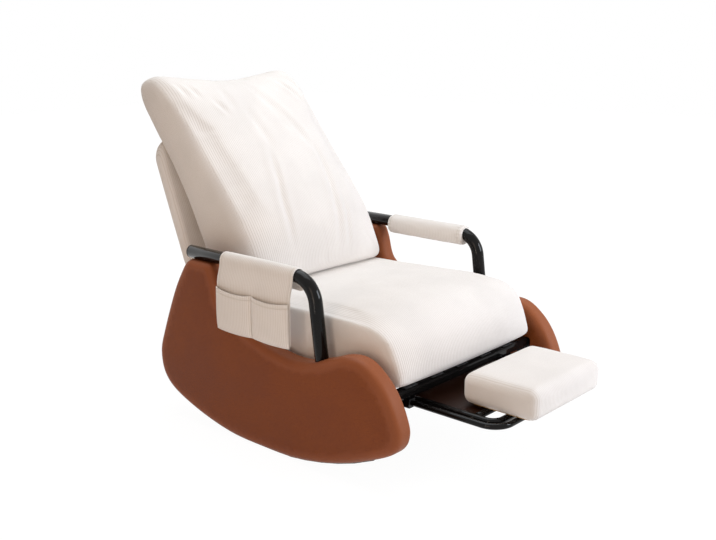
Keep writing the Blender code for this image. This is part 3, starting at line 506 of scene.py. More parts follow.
def set_coords(mesh, points):
    mesh.vertices.foreach_set("co", np.ascontiguousarray(points, np.float32).ravel())
    mesh.update()


def normals(mesh):
    return read_points(mesh, "normal")


def blurred(mesh, values, rounds):
    """Values on the points, evened out along the edges."""
    flat = np.empty(len(mesh.edges) * 2, np.int32)
    mesh.edges.foreach_get("vertices", flat)
    one, two = flat.reshape(-1, 2).T
    count = np.bincount(flat, minlength=len(mesh.vertices)).astype(float)
    count = count.reshape(-1, *([1] * (values.ndim - 1)))
    for _ in range(rounds):
        total = np.zeros_like(values)
        np.add.at(total, one, values[two])
        np.add.at(total, two, values[one])
        values = 0.5 * values + 0.5 * total / count
    return values


def set_attribute(mesh, name, values):
    made = mesh.attributes.get(name) or mesh.attributes.new(name, "FLOAT", "POINT")
    made.data.foreach_set("value", np.ascontiguousarray(values, np.float32))


def set_ribs(mesh, across_of):
    """The ribs' map: at each face corner, the distances across and along the ribs, in metres."""
    layer = mesh.uv_layers.get("ribs") or mesh.uv_layers.new(name="ribs")
    points = coords(mesh)
    values = np.zeros((len(mesh.loops), 2), np.float32)
    for face in mesh.polygons:
        for loop in face.loop_indices:
            values[loop] = across_of(points[mesh.loops[loop].vertex_index], face.normal)
    layer.data.foreach_set("uv", values.ravel())


def finish_piece(obj, material, body, replaced=(), subdivide=0):
    """Smooth shading, finish, and the body that the piece moves with."""
    obj.data.materials.clear()
    obj.data.materials.append(material)
    obj.data.shade_smooth()
    if subdivide:
        finer = obj.modifiers.new("finer", "SUBSURF")
        finer.levels = subdivide
        finer.render_levels = subdivide
    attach(obj, body)
    if replaced:
        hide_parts(*replaced)
    return obj


def cream_piece(obj, body, node):
    return finish_piece(obj, CREAM, body, [node], subdivide=1)


def smooth_loop(points, steps, closed=True):
    """Points on a Catmull-Rom curve through a chain of points."""
    chain = [np.array(point, float) for point in points]
    count = len(chain)
    made = []
    for i in range(count if closed else count - 1):
        places = [k % count if closed else min(max(k, 0), count - 1) for k in range(i - 1, i + 3)]
        before, start, end, after = (chain[k] for k in places)
        for k in range(steps):
            t = k / steps
            made.append(
                0.5 * (2 * start + (end - before) * t
                       + (2 * before - 5 * start + 4 * end - after) * t**2
                       + (3 * start - before - 3 * end + after) * t**3)
            )
    if not closed:
        made.append(chain[-1])
    return np.array(made)


def run_along(chain):
    """The distance walked at each point of a chain."""
    return np.concatenate([[0.0], np.cumsum(np.linalg.norm(np.diff(chain, axis=0), axis=1))])


def evenly(points, spacing, closed):
    """The chain walked again in equal steps of about the given length."""
    chain = np.vstack([points, points[:1]]) if closed else np.asarray(points)
    run = run_along(chain)
    count = max(3, round(run[-1] / spacing))
    at = np.linspace(0.0, run[-1], count + 1)
    if closed:
        at = at[:-1]
    return np.stack([np.interp(at, run, chain[:, k]) for k in range(chain.shape[1])], 1)


def inward(points):
    """Unit vectors that point into a closed anticlockwise chain."""
    along = np.roll(points, -1, 0) - np.roll(points, 1, 0)
    along /= np.linalg.norm(along, axis=1, keepdims=True)
    return np.stack([-along[:, 1], along[:, 0]], 1)


def bent_path(corners, bend_radius, steps=20):
    """Straight runs between the corners, joined by arcs."""
    corners = [Vector(corner) for corner in corners]
    path = [corners[0]]
    for before, corner, after in zip(corners, corners[1:], corners[2:]):
        into = (corner - before).normalized()
        out = (after - corner).normalized()
        turn = into.angle(out)
        start = corner - into * bend_radius * math.tan(turn / 2)
        centre = corner + (out - into).normalized() * bend_radius / math.cos(turn / 2)
        axis = into.cross(out)
        for k in range(steps + 1):
            path.append(centre + Matrix.Rotation(turn * k / steps, 3, axis) @ (start - centre))
    path.append(corners[-1])
    return path


def grid_faces(rows, columns, closed=True):
    """Quads between the rows of a grid of points; closed rows are rings."""
    faces = []
    for i in range(rows - 1):
        here, above = i * columns, (i + 1) * columns
        for k in range(columns if closed else columns - 1):
            after = (k + 1) % columns
            faces.append((here + k, here + after, above + after, above + k))
    return faces


def capped(rings, count):
    """The quads between rings of points, and a face on the first and the last ring."""
    ends = [tuple(reversed(range(count))), tuple(range((rings - 1) * count, rings * count))]
    return grid_faces(rings, count) + ends


def tube_object(name, path, radius, sides):
    """A round tube along a path in one plane, with its ends closed by rounded lips."""
    path = [Vector(point) for point in path]
    plane = Vector((0, 0, 0))
    for before, here, after in zip(path, path[1:], path[2:]):
        plane += (here - before).cross(after - here)
    if plane.length < 1e-9:
        plane = (path[1] - path[0]).orthogonal()
    plane.normalize()
    rings = []
    for k, here in enumerate(path):
        along = (path[min(k + 1, len(path) - 1)] - path[max(k - 1, 0)]).normalized()
        rings.append((here, along, radius))
    lip = radius * 0.12
    core = radius * 0.6
    start, into, _ = rings[0]
    end, out, _ = rings[-1]
    rings = [
        (start, into, core),
        (start, into, radius - lip),
        (start + into * lip, into, radius),
        *rings[1:-1],
        (end - out * lip, out, radius),
        (end, out, radius - lip),
        (end, out, core),
    ]
    verts = []
    for here, along, size in rings:
        side = along.cross(plane).normalized()
        for k in range(sides):
            angle = 2 * math.pi * k / sides
            verts.append(here + side * (size * math.cos(angle)) + plane * (size * math.sin(angle)))
    obj = new_object(name, verts, capped(len(rings), sides))
    fix_normals(obj.data)
    return obj


def steel_tube(name, path, radius, sides, body, node):
    finish_piece(tube_object(name, path, radius, sides), PAINT, body, [node])


def sheet_object(name, points, thickness):
    """A sheet through a grid of points (rows, columns, 3), thickened to both sides."""
    rows, columns = points.shape[:2]
    obj = new_object(name, points.reshape(-1, 3), grid_faces(rows, columns, closed=False))
    shell = obj.modifiers.new("cloth", "SOLIDIFY")
    shell.thickness = thickness
    shell.offset = 0.0
    return obj


def quarter_round(radius, half, steps):
    """A rounded edge's section, side to face: (distance in from the outline, half thickness)."""
    made = []
    for k in range(steps + 1):
        angle = math.pi / 2 * k / steps
        made.append((radius * (1 - math.cos(angle)), half - radius * (1 - math.sin(angle))))
    return made


def both_halves(section):
    return [(d, -half) for d, half in reversed(section)] + section[1:]


def in_polygon(a, b, loop):
    within = False
    for (a1, b1), (a2, b2) in zip(loop, np.roll(loop, -1, 0)):
        if (b1 > b) != (b2 > b) and a < (a2 - a1) * (b - b1) / (b2 - b1) + a1:
            within = not within
    return within


def points_within(loop, step, clear, stagger):
    """A grid inside a closed chain, clear of it; stagger 1 shifts every second row half a step."""
    low, high = loop.min(0), loop.max(0)
    made = []
    for i, a in enumerate(np.arange(low[0] + step / 2, high[0], step)):
        for b in np.arange(low[1] + step / 2 * (1 + stagger * (i % 2)), high[1], step):
            if np.min(np.hypot(loop[:, 0] - a, loop[:, 1] - b)) > clear and in_polygon(a, b, loop):
                made.append((a, b))
    return made


def close_slab(verts, faces, loop, inside, rings, place):
    """Closes the two faces of a slab with even triangles.

    place gives a new point's coordinates from its face (-1 or 1), its place there and its distance
    from the loop.
    """
    count = len(loop)
    flat = [Vector(point) for point in (*loop, *inside)]
    around = [(k, (k + 1) % count) for k in range(count)]
    points, _, triangles = geometry.delaunay_2d_cdt(flat, around, [], 1, 1e-6)[:3]
    for ring, face in ((0, -1), (rings - 1, 1)):
        index = {}
        for k, point in enumerate(points):
            near = np.hypot(loop[:, 0] - point.x, loop[:, 1] - point.y)
            nearest = int(near.argmin())
            if near[nearest] < 1e-5:
                index[k] = ring * count + nearest
            else:
                index[k] = len(verts)
                verts.append(place(face, point.x, point.y, near[nearest]))
        faces += [tuple(index[k] for k in triangle) for triangle in triangles]


# Soft forms


def cushion_object(name, profile, half_width, side_radius, shape, levels=4):
    """A cushion: its side profile at five stations, subdivided to a smooth closed form."""
    profile = np.array(profile, float)
    stations = (
        (-half_width, side_radius),
        (side_radius - half_width, 0.0),
        (0.0, 0.0),
        (half_width - side_radius, 0.0),
        (half_width, side_radius),
    )
    verts = []
    for x, inset in stations:
        ring = profile + inset * inward(profile)
        for k, (y, z) in enumerate(ring):
            verts.append(Vector((x, y, z)) + shape(x / half_width, k))
    obj = new_object(name, verts, capped(len(stations), len(profile)))
    fix_normals(obj.data)
    smooth = obj.modifiers.new("smooth", "SUBSURF")
    smooth.levels = levels
    smooth.render_levels = levels
    apply_modifiers(obj)
    return obj


def remesh(obj, voxel):
    even = obj.modifiers.new("even", "REMESH")
    even.mode = "VOXEL"
    even.voxel_size = voxel
    apply_modifiers(obj)
    mesh = obj.data
    set_coords(mesh, blurred(mesh, coords(mesh), 2))


def puff(obj, held, most, calm):
    """The cover swells from the filling: cloth with pressure, its movement capped.

    held marks the points that rest on something, most is the largest movement of the others, and
    calm is how many times the movement is evened out. The flat sides stay as they are cut.
    """
    scene = bpy.context.scene
    mesh = obj.data
    start = coords(mesh)
    group = obj.vertex_groups.new(name="held")
    group.add([int(i) for i in np.flatnonzero(held)], 1.0, "REPLACE")
    cloth = obj.modifiers.new("cloth", "CLOTH")
    for name, value in CLOTH.items():
        setattr(cloth.settings, name, value)
    cloth.settings.effector_weights.gravity = 0.0
    cloth.point_cache.frame_start = 1
    cloth.point_cache.frame_end = CLOTH_FRAMES
    for number in range(1, CLOTH_FRAMES + 1):
        scene.frame_set(number)
    graph = bpy.context.evaluated_depsgraph_get()
    swollen = obj.evaluated_get(graph)
    ended = coords(swollen.to_mesh())
    swollen.to_mesh_clear()
    obj.modifiers.remove(cloth)
    obj.vertex_groups.remove(group)
    scene.frame_set(1)
    sideways = np.abs(blurred(mesh, normals(mesh), 4)[:, 0])
    shift = blurred(mesh, ended - start, calm) * np.clip(1.3 - 2.0 * sideways, 0.0, 1.0)[:, None]
    length = np.linalg.norm(shift, axis=1, keepdims=True)
    set_coords(mesh, start + shift * np.minimum(1.0, most / np.maximum(length, 1e-9)))


def ripple(points, scale, seed):
    """Smooth noise at each point, about -1 to 1."""
    offset = Vector((seed * 7.3, seed * 3.1, seed * 5.7))
    return np.array([noise.noise(Vector(p) * scale + offset) for p in points])


def crease(across, along, line, width, depth):
    """How far in a long crease draws the cloth, with soft ridges beside it.

    across and along are the points' places on the face; line is the crease's chain of places on it.
    """
    chain = smooth_loop(line, 10, closed=False)
    points = np.stack([across, along], 1)
    nearest = np.full(len(points), 9.0)
    place = np.zeros(len(points))
    run = run_along(chain)
    for k in range(len(chain) - 1):
        step = chain[k + 1] - chain[k]
        share = np.clip(((points - chain[k]) @ step) / (step @ step), 0.0, 1.0)
        distance = np.linalg.norm(points - (chain[k] + share[:, None] * step), axis=1)
        closer = distance < nearest
        nearest = np.where(closer, distance, nearest)
        place = np.where(closer, (run[k] + share * (run[k + 1] - run[k])) / run[-1], place)
    taper = np.sin(math.pi * np.clip(place, 0.02, 0.98)) ** 0.8
    valley = np.exp(-((nearest / width) ** 2))
    ridge = np.exp(-(((nearest - 2.1 * width) / (1.3 * width)) ** 2))
    return -depth * taper * (valley - 0.55 * ridge)


def lay_ribs(mesh, across_side):
    """Lays the ribs up a cushion's face and over its top, and finer ones on its sides."""
    set_attribute(mesh, "seam", np.full(len(mesh.vertices), FAR))

    def across(point, normal):
        if abs(normal.x) > SIDE_FROM:
            return 2 * across_side(point), point[2]
        return point[0], point[1] + point[2]

    set_ribs(mesh, across)


# Rocker sides


def rolling_z(y):
    flat_drop = math.sqrt(ROCK_RADIUS**2 - FLAT_HALF**2)
    reach = y - ROCK_CENTRE_Y
    return max(0.0, flat_drop - math.sqrt(ROCK_RADIUS**2 - reach**2))


def eased_low(loop):
    """Rounds the heel and the toe, below EASE_BELOW_Z."""
    eased = loop
    for _ in range(EASE_ROUNDS):
        eased = (np.roll(eased, 1, 0) + 2 * eased + np.roll(eased, -1, 0)) / 4
    low = np.clip((EASE_BELOW_Z - loop[:, 1]) / 0.06, 0.0, 1.0)[:, None]
    return loop + (eased - loop) * low


def rocker_outline():
    """The side's outline in (Y, Z), anticlockwise seen from +X."""
    lift = STRIP_THICKNESS + GAP
    horn_top = ARM_Z - ARM_TUBE_R - GAP
    flat_front = ROCK_CENTRE_Y - FLAT_HALF
    flat_rear = ROCK_CENTRE_Y + FLAT_HALF
    edge_y = [
        ARC_FRONT_Y,
        (2 * ARC_FRONT_Y + flat_front) / 3,
        (ARC_FRONT_Y + 2 * flat_front) / 3,
        flat_front,
        ROCK_CENTRE_Y,
        flat_rear,
        (ARC_REAR_Y + 2 * flat_rear) / 3,
        (2 * ARC_REAR_Y + flat_rear) / 3,
        ARC_REAR_Y,
    ]
    edge = [(y, rolling_z(y) + lift) for y in edge_y]
    heel = [
        (HEEL_Y - 0.007, 0.118),
        (HEEL_Y, 0.175),
        (HEEL_Y - 0.021, 0.241),
        (HEEL_Y - 0.070, 0.356),
    ]
    horn = [
        (HORN_REAR_Y + 0.037, horn_top - 0.045),
        (HORN_REAR_Y + 0.004, horn_top - 0.004),
        (HORN_REAR_Y - 0.040, horn_top + 0.001),
        (HORN_FRONT_Y + 0.012, horn_top - 0.003),
        (HORN_FRONT_Y - 0.006, horn_top - 0.035),
    ]
    saddle = [
        (HORN_FRONT_Y - 0.027, SADDLE_Z + 0.095),
        (HORN_FRONT_Y - 0.080, SADDLE_Z + 0.058),
        (HORN_FRONT_Y - 0.150, SADDLE_Z + 0.028),
        (HORN_FRONT_Y - 0.250, SADDLE_Z + 0.002),
        (TOE_Y + 0.315, SADDLE_Z + 0.001),
        (TOE_Y + 0.245, BUMP_Z - 0.025),
        (TOE_Y + 0.177, BUMP_Z - 0.001),
        (TOE_Y + 0.124, BUMP_Z - 0.002),
    ]
    toe = [
        (TOE_Y + 0.076, BUMP_Z - 0.032),
        (TOE_Y + 0.040, 0.245),
        (TOE_Y + 0.013, 0.190),
        (TOE_Y, 0.148),
        (TOE_Y + 0.012, 0.112),
    ]
    loop = smooth_loop(edge + heel + horn + saddle + toe, 12)
    loop[:, 1] = [min(max(z, rolling_z(y) + lift), horn_top) for y, z in loop]
    return evenly(eased_low(evenly(loop, OUTLINE_STEP, True)), OUTLINE_STEP, True)


def make_rocker(side, sign):
    """A padded side: leatherette drawn over foam round the core board."""
    outline = rocker_outline()
    into = inward(outline)
    half = PANEL_THICKNESS / 2
    flank = (0.0, (half - PANEL_EDGE_R) / 2)
    rings = both_halves([(0.0, 0.0), flank, *quarter_round(PANEL_EDGE_R, half, 8)])
    # rim is highest at the padded edge and falls off inward; the leatherette uses it for a paler
    # painted highlight on that edge.
    verts, rim = [], []
    for d, x in rings:
        swell = RIM_SWELL * math.exp(-((d / 0.010) ** 2))
        for (y, z), (iy, iz) in zip(outline, into):
            verts.append((x, y + iy * (d - swell), z + iz * (d - swell)))
            rim.append(1.0 - d / PANEL_EDGE_R * 0.35)
    faces = grid_faces(len(rings), len(outline))

    def on_face(face, y, z, depth):
        rim.append(max(0.0, 0.65 - depth / 0.014))
        crown = FACE_CROWN * (1 - math.exp(-depth / 0.030))
        return face * (half + crown), y, z

    loop = outline + into * PANEL_EDGE_R
    close_slab(verts, faces, loop, points_within(loop, 0.014, 0.006, 1), len(rings), on_face)
    verts = np.array(verts)
    verts[:, 0] += sign * PANEL_MID_X
    obj = new_object(side + "_rocker_side", verts, faces)
    fix_normals(obj.data)
    set_attribute(obj.data, "rim", np.clip(rim, 0.0, 1.0))
    finish_piece(obj, LEATHER, "chair", [side + "_rocker_cover"])


# Arms


def arm_path(sign):
    x = sign * PANEL_MID_X
    foot_z = SADDLE_Z - ARM_SOCKET_DEPTH
    slope = math.tan(ARM_LEG_LEAN)
    corner_y = ARM_FOOT_Y + (ARM_Z - SADDLE_Z) * slope
    foot_y = ARM_FOOT_Y - (SADDLE_Z - foot_z) * slope
    corners = [(x, ARM_REAR_Y, ARM_Z), (x, corner_y, ARM_Z), (x, foot_y, foot_z)]
    return bent_path(corners, ARM_BEND_R)


def make_arm(side, sign):
    steel_tube(side + "_arm", arm_path(sign), ARM_TUBE_R, 40, "chair", side + "_arm_tube")


def make_sleeve():
    """The padded sleeve on the left arm: a soft square-shouldered tube, gathered at both ends."""
    length = SLEEVE_REAR_Y - SLEEVE_FRONT_Y
    middle = (SLEEVE_REAR_Y + SLEEVE_FRONT_Y) / 2
    height = ARM_Z - SLEEVE_DROP
    rings, sides = 90, 72
    points = np.zeros((rings, sides, 3))
    for i in range(rings):
        u = 2 * i / (rings - 1) - 1
        end = max(0.0, (abs(u) - (1 - SLEEVE_ROUND)) / SLEEVE_ROUND)
        round_off = math.sqrt(max(0.0, 1 - end**2.6))
        size = ARM_TUBE_R + (SLEEVE_R + 0.0010 - ARM_TUBE_R) * (0.55 + 0.45 * round_off)
        for j in range(sides):
            angle = 2 * math.pi * j / sides
            c, s = math.cos(angle), math.sin(angle)
            square = (abs(c) ** SLEEVE_SQUARE + abs(s) ** SLEEVE_SQUARE) ** (-1 / SLEEVE_SQUARE)
            thick = size - ARM_TUBE_R
            gather = 0.0009 * math.sin(17 * angle + 2.0 * u) * end * (1 - end) * 4
            wave = noise.noise(Vector((2.2 * c, 2.2 * s, 5.0 * u))) * 0.0008
            radius = ARM_TUBE_R + thick * (1 + 1.3 * (square - 1)) + gather + wave * (1 - end)
            points[i, j] = (PANEL_MID_X + radius * c, middle + u * length / 2, height + radius * s)
    obj = new_object("left_arm_pad", points.reshape(-1, 3), capped(rings, sides))
    mesh = obj.data
    fix_normals(mesh)
    place = coords(mesh)
    under = np.abs(place[:, 0] - PANEL_MID_X) + np.where(place[:, 2] < height, 0.0, FAR)
    ends = length / 2 - np.abs(place[:, 1] - middle) - 0.014
    set_attribute(mesh, "seam", np.where(np.abs(ends) < under, ends, under))

    def across(point, normal):
        return point[1], math.atan2(point[2] - height, point[0] - PANEL_MID_X) * SLEEVE_R

    set_ribs(mesh, across)
    cream_piece(obj, "chair", "left_arm_sleeve")


def cover_section():
    """Cross-section (X, Z) of the right arm's cover: inner flap, over the tube, outer flap."""
    radius = ARM_TUBE_R + GAP + CLOTH_THICKNESS * 0.9
    flap_x = -(PANEL_OUTER_X + GAP + CLOTH_THICKNESS * 0.9)
    tube_x = -PANEL_MID_X
    section = [(tube_x + radius, INNER_FLAP_Z), (tube_x + radius, (INNER_FLAP_Z + ARM_Z) / 2)]
    for k in range(17):
        angle = math.pi * k / 16
        section.append((tube_x + radius * math.cos(angle), ARM_Z + radius * math.sin(angle)))
    start_x = tube_x - radius
    for k in range(1, 9):
        t = k / 8
        ease = t * t * (3 - 2 * t)
        section.append((start_x + (flap_x - start_x) * ease, ARM_Z + (FLAP_STRAIGHT_Z - ARM_Z) * t))
    for k in range(1, 7):
        section.append((flap_x, FLAP_STRAIGHT_Z + (FLAP_BOTTOM_Z - FLAP_STRAIGHT_Z) * k / 6))
    return evenly(np.array(section), 0.0045, False)


def cloth_piece(name, points, thickness, seam, node):
    """A cloth of the right arm with upright ribs; seam is the distance to its hem."""
    obj = sheet_object(name, points, thickness)
    set_attribute(obj.data, "seam", seam.ravel())
    set_ribs(obj.data, lambda point, normal: (point[1], point[2]))
    apply_modifiers(obj)
    return cream_piece(obj, "chair", node)


def make_arm_cover():
    """The cloth cover over the right arm, hemmed all round."""
    section = cover_section()
    rows, columns = len(section), 72
    length = COVER_REAR_Y - COVER_FRONT_Y
    run = run_along(section)
    corner = 0.012
    points = np.zeros((rows, columns, 3))
    border = np.zeros((rows, columns))
    for i, (x, z) in enumerate(section):
        from_end = min(run[i], run[-1] - run[i])
        trim = corner - math.sqrt(max(0.0, corner**2 - max(0.0, corner - from_end) ** 2))
        outside = x < -PANEL_MID_X
        hang = max(0.0, (ARM_Z - z) / (ARM_Z - FLAP_BOTTOM_Z)) if outside else 0.0
        for j in range(columns):
            u = j / (columns - 1)
            y = COVER_FRONT_Y + trim + (length - 2 * trim) * u
            lift = 0.0016 * noise.noise(Vector((y * 16, z * 9, 1.7))) * hang
            crown = 0.0010 * math.sin(math.pi * u) if hang == 0.0 else 0.0
            points[i, j] = (x - abs(lift), y, z + crown)
            border[i, j] = min(from_end, y - COVER_FRONT_Y, COVER_REAR_Y - y)
    obj = cloth_piece("armrest_cloth", points, COVER_SHOWN, border - COVER_HEM, "armrest_cover")
    middle = (COVER_FRONT_Y + COVER_REAR_Y) / 2
    make_pouch("front_pocket", "front_pouch", COVER_FRONT_Y + 0.001, middle - 0.0012)
    make_pouch("rear_pocket", "rear_pouch", middle + 0.0012, COVER_REAR_Y - 0.001)


def make_pouch(name, node, front_y, rear_y):
    """An open pocket sewn to the outer flap at its sides and bottom, plump with a sagging mouth."""
    rows, columns = 44, 48
    flap_x = PANEL_OUTER_X + GAP + CLOTH_THICKNESS * 1.9
    points = np.zeros((rows, columns, 3))
    border = np.zeros((rows, columns))
    bottom = FLAP_BOTTOM_Z - 0.002
    tilt = 0.002 if front_y < 0 else -0.002
    for i in range(rows):
        up = i / (rows - 1)
        foot = (1 - (1 - min(1.0, up / 0.30)) ** 3) ** 0.7
        slack = 0.72 + 0.28 * math.sin(math.pi * min(1.0, up * 0.9))
        for j in range(columns):
            u = 2 * j / (columns - 1) - 1
            sides = (1 - abs(u) ** 5) ** 0.55
            bulge = POUCH_BULGE * sides * foot * slack
            spot = Vector((u * 2.2 + front_y * 40, up * 2.4, 3.1))
            fold = 0.0010 * noise.noise(spot) * sides * foot
            mouth = POUCH_MOUTH_Z - POUCH_SAG * (1 - u * u) - tilt * u
            z = bottom + (mouth - bottom) * up
            y = (front_y + rear_y) / 2 + (rear_y - front_y) / 2 * u
            points[i, j] = (-(flap_x + 0.0012 + bulge + fold), y, z + 0.004 * (1 - foot) * u * u)
            border[i, j] = mouth - z
    obj = cloth_piece(name, points, POUCH_SHOWN, border - POUCH_HEM, node)


# Seat


def make_seat():
    """The seat cushion: crowned top, rolled front and sides that draw in."""
    bottom = SEAT_BOTTOM_Z
    depth = SEAT_REAR_Y - SEAT_FRONT_Y
    shares = [
        (0.014, 0.0),
        (0.0, 0.29),
        (0.0, 0.68),
        (0.042, 0.90),
        (0.266, 0.941),
        (0.488, 0.977),
        (0.695, 1.0),
        (0.845, 0.988),
        (0.932, 0.82),
        (0.962, 0.475),
        (0.992, 0.147),
        (0.955, 0.0),
        (0.681, 0.0),
        (0.307, 0.0),
    ]
    profile = [(SEAT_REAR_Y - depth * along, bottom + SEAT_HEIGHT * up) for along, up in shares]
    crowns = {4: 0.1, 5: 0.7, 6: 1.0, 7: 0.8, 8: 0.4, 9: 0.3}
    forward = {7: 0.3, 8: 0.5, 9: 0.5, 10: 0.4}
    narrow = {8: 0.6, 9: 1.0, 10: 1.0, 11: 0.6}
    middle_y = (profile[0][0] + profile[10][0]) / 2
    reach = (profile[0][0] - profile[10][0]) / 2

    def shape(share, k):
        middle = 1 - share**2
        along = (profile[k][0] - middle_y) / reach
        draw = -SEAT_DRAW_IN * share * max(0.0, 1 - along**2)
        narrowing = -SEAT_NARROWING * share * narrow.get(k, 0.0)
        return Vector((
            draw + narrowing,
            -SEAT_CROWN * forward.get(k, 0.0) * middle,
            SEAT_CROWN * crowns.get(k, 0.0) * middle,
        ))

    obj = cushion_object("seat_pad", profile, SEAT_HALF_WIDTH, SEAT_SIDE_R, shape)
    remesh(obj, SEAT_MESH)
    mesh = obj.data
    puff(obj, coords(mesh)[:, 2] < bottom + SEAT_HELD, *SEAT_SWELL)
    points = coords(mesh)
    facing = normals(mesh)
    top = np.clip(facing[:, 2], 0.0, 1.0)
    dents = 0.0022 * ripple(points * (1.0, 0.8, 1.0), 6.5, 1) + 0.0009 * ripple(points, 17.0, 2)
    points += facing * (dents * top)[:, None]
    points[:, 2] = np.maximum(points[:, 2], bottom)
    side = PANEL_INNER_X - SEAT_CLEAR
    points[:, 0] = np.clip(points[:, 0], -side, side)
    set_coords(mesh, points)
    lay_ribs(mesh, lambda point: point[1])
    cream_piece(obj, "chair", "seat_cushion")


def make_straps():
    """Elastic straps under the seat, each a thin band with rounded edges."""
    for k in range(1, 6):
        node = f"seat_strap_{k}"
        low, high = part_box(node)
        rows, columns = 60, 9
        points = np.zeros((rows, columns, 3))
        for i in range(rows):
            for j in range(columns):
                share = 2 * j / (columns - 1) - 1
                points[i, j] = (
                    (low.x + high.x) / 2 + share * (high.x - low.x) / 2,
                    low.y + (high.y - low.y) * i / (rows - 1),
                    (low.z + high.z) / 2 - 0.0002 * share**4,
                )
        obj = sheet_object(f"seat_band_{k}", points, STRAP_SHOWN)
        apply_modifiers(obj)
        finish_piece(obj, WEBBING, "chair", [node], subdivide=1)


# Back


def in_back_frame(points):
    """Places across and along the leaning back, from the hinge axis."""
    y = points[:, 1] - HINGE_Y
    z = points[:, 2] - HINGE_Z
    return y * BACK_COS - z * BACK_SIN, y * BACK_SIN + z * BACK_COS


def make_back_cushion():
    """The loose back cushion: ears at its top corners, and soft creases down the face."""
    shares = [
        (0.348, 0.0),
        (0.433, 0.063),
        (0.522, 0.205),
        (0.670, 0.444),
        (0.880, 0.695),
        (1.0, 0.855),
        (0.978, 0.950),
        (0.818, 1.0),
        (0.668, 0.913),
        (0.455, 0.683),
        (0.230, 0.435),
        (0.070, 0.249),
        (0.0, 0.075),
        (-0.010, -0.012),
    ]
    profile = []
    for share_back, share_up in shares:
        y = BACK_CUSHION_FRONT_Y + BACK_CUSHION_REACH * share_back
        profile.append((y, BACK_CUSHION_FOOT_Z + BACK_CUSHION_RISE * share_up))
    front = {8: 0.4, 9: 0.6, 10: 1.0, 11: 1.0, 12: 0.8}
    ears = {5: 0.4, 6: 1.0, 7: 1.0, 8: 0.4}
    lean = BACK_CUSHION_FACE_LEAN
    forward = Vector((0.0, -math.cos(lean), math.sin(lean)))
    upward = Vector((0.0, math.sin(lean), math.cos(lean)))
    low = profile[0][1]
    high = profile[7][1]

    def shape(share, k):
        middle = 1 - share**2
        along = 2 * (profile[k][1] - low) / (high - low) - 1
        draw = -BACK_CUSHION_DRAW_IN * share * max(0.0, 1 - along**2)
        sag = -BACK_CUSHION_TOP_SAG * middle * max(0.0, along) ** 3
        crown = BACK_CUSHION_CROWN * front.get(k, 0.0) * middle
        ear = BACK_CUSHION_EAR * ears.get(k, 0.0) * share**6
        sideways = draw + math.copysign(ear, share) / 3
        foot = -0.7 * BACK_CUSHION_SIDE_R * share**8 if k in (0, 12, 13) else 0.0
        return Vector((sideways, 0.0, foot)) + crown * forward + (sag + ear) * upward

    half_width = BACK_CUSHION_HALF_WIDTH
    obj = cushion_object("back_pillow", profile, half_width, BACK_CUSHION_SIDE_R, shape)
    remesh(obj, PILLOW_MESH)
    mesh = obj.data
    soften_edges(mesh, forward)
    rest_on_panel(mesh)
    points = coords(mesh)
    across, up = in_back_frame(points)
    panel_face = -BACK_PANEL_THICKNESS / 2
    held = (across > panel_face - 0.004) & (up < BACK_PANEL_TOP)
    held |= points[:, 2] < PILLOW_HELD_Z
    puff(obj, held, *PILLOW_SWELL)
    add_creases(mesh, forward)
    rest_on_panel(mesh)
    points = coords(mesh)
    points[:, 2] = np.maximum(points[:, 2], PILLOW_FOOT_Z)
    set_coords(mesh, points)
    side_way = np.array((0.0, math.cos(lean), -math.sin(lean)))
    lay_ribs(mesh, lambda point: float(point @ side_way))
    cream_piece(obj, "backrest", "back_cushion")


def soften_edges(mesh, forward):
    """Rounds the edges between the cushion's face and its sides, but not its ears and its foot."""
    points = coords(mesh)
    height = points[:, 2]
    facing = blurred(mesh, normals(mesh), 8)
    share = np.clip(facing @ np.array(forward) * 2.5 + 0.3, 0.0, 1.0)
    above_foot = np.clip((height - EDGE_FROM_Z) / EDGE_FADE[0], 0.0, 1.0)
    share *= above_foot * np.clip((EDGE_TO_Z - height) / EDGE_FADE[1], 0.0, 1.0)
    share *= np.where(points[:, 0] < 0.0, 1.0, FAR_EDGE_SHARE)
    set_coords(mesh, points + (blurred(mesh, points, EDGE_ROUNDS) - points) * share[:, None])


def rest_on_panel(mesh):
    """The cushion's rear lies flat against the back panel as far up as the panel goes."""
    points = coords(mesh)
    across, up = in_back_frame(points)
    limit = -BACK_PANEL_THICKNESS / 2 - PILLOW_CLEAR
    ease_from, ease_length, overhang = BACK_PANEL_TOP - 0.016, 0.030, 0.045
    over = np.clip((up - ease_from) / ease_length, 0.0, 1.0)
    most = limit + overhang * over * over
    excess = np.maximum(0.0, across - most)
    points[:, 1] -= excess * BACK_COS
    points[:, 2] += excess * BACK_SIN
    set_coords(mesh, points)


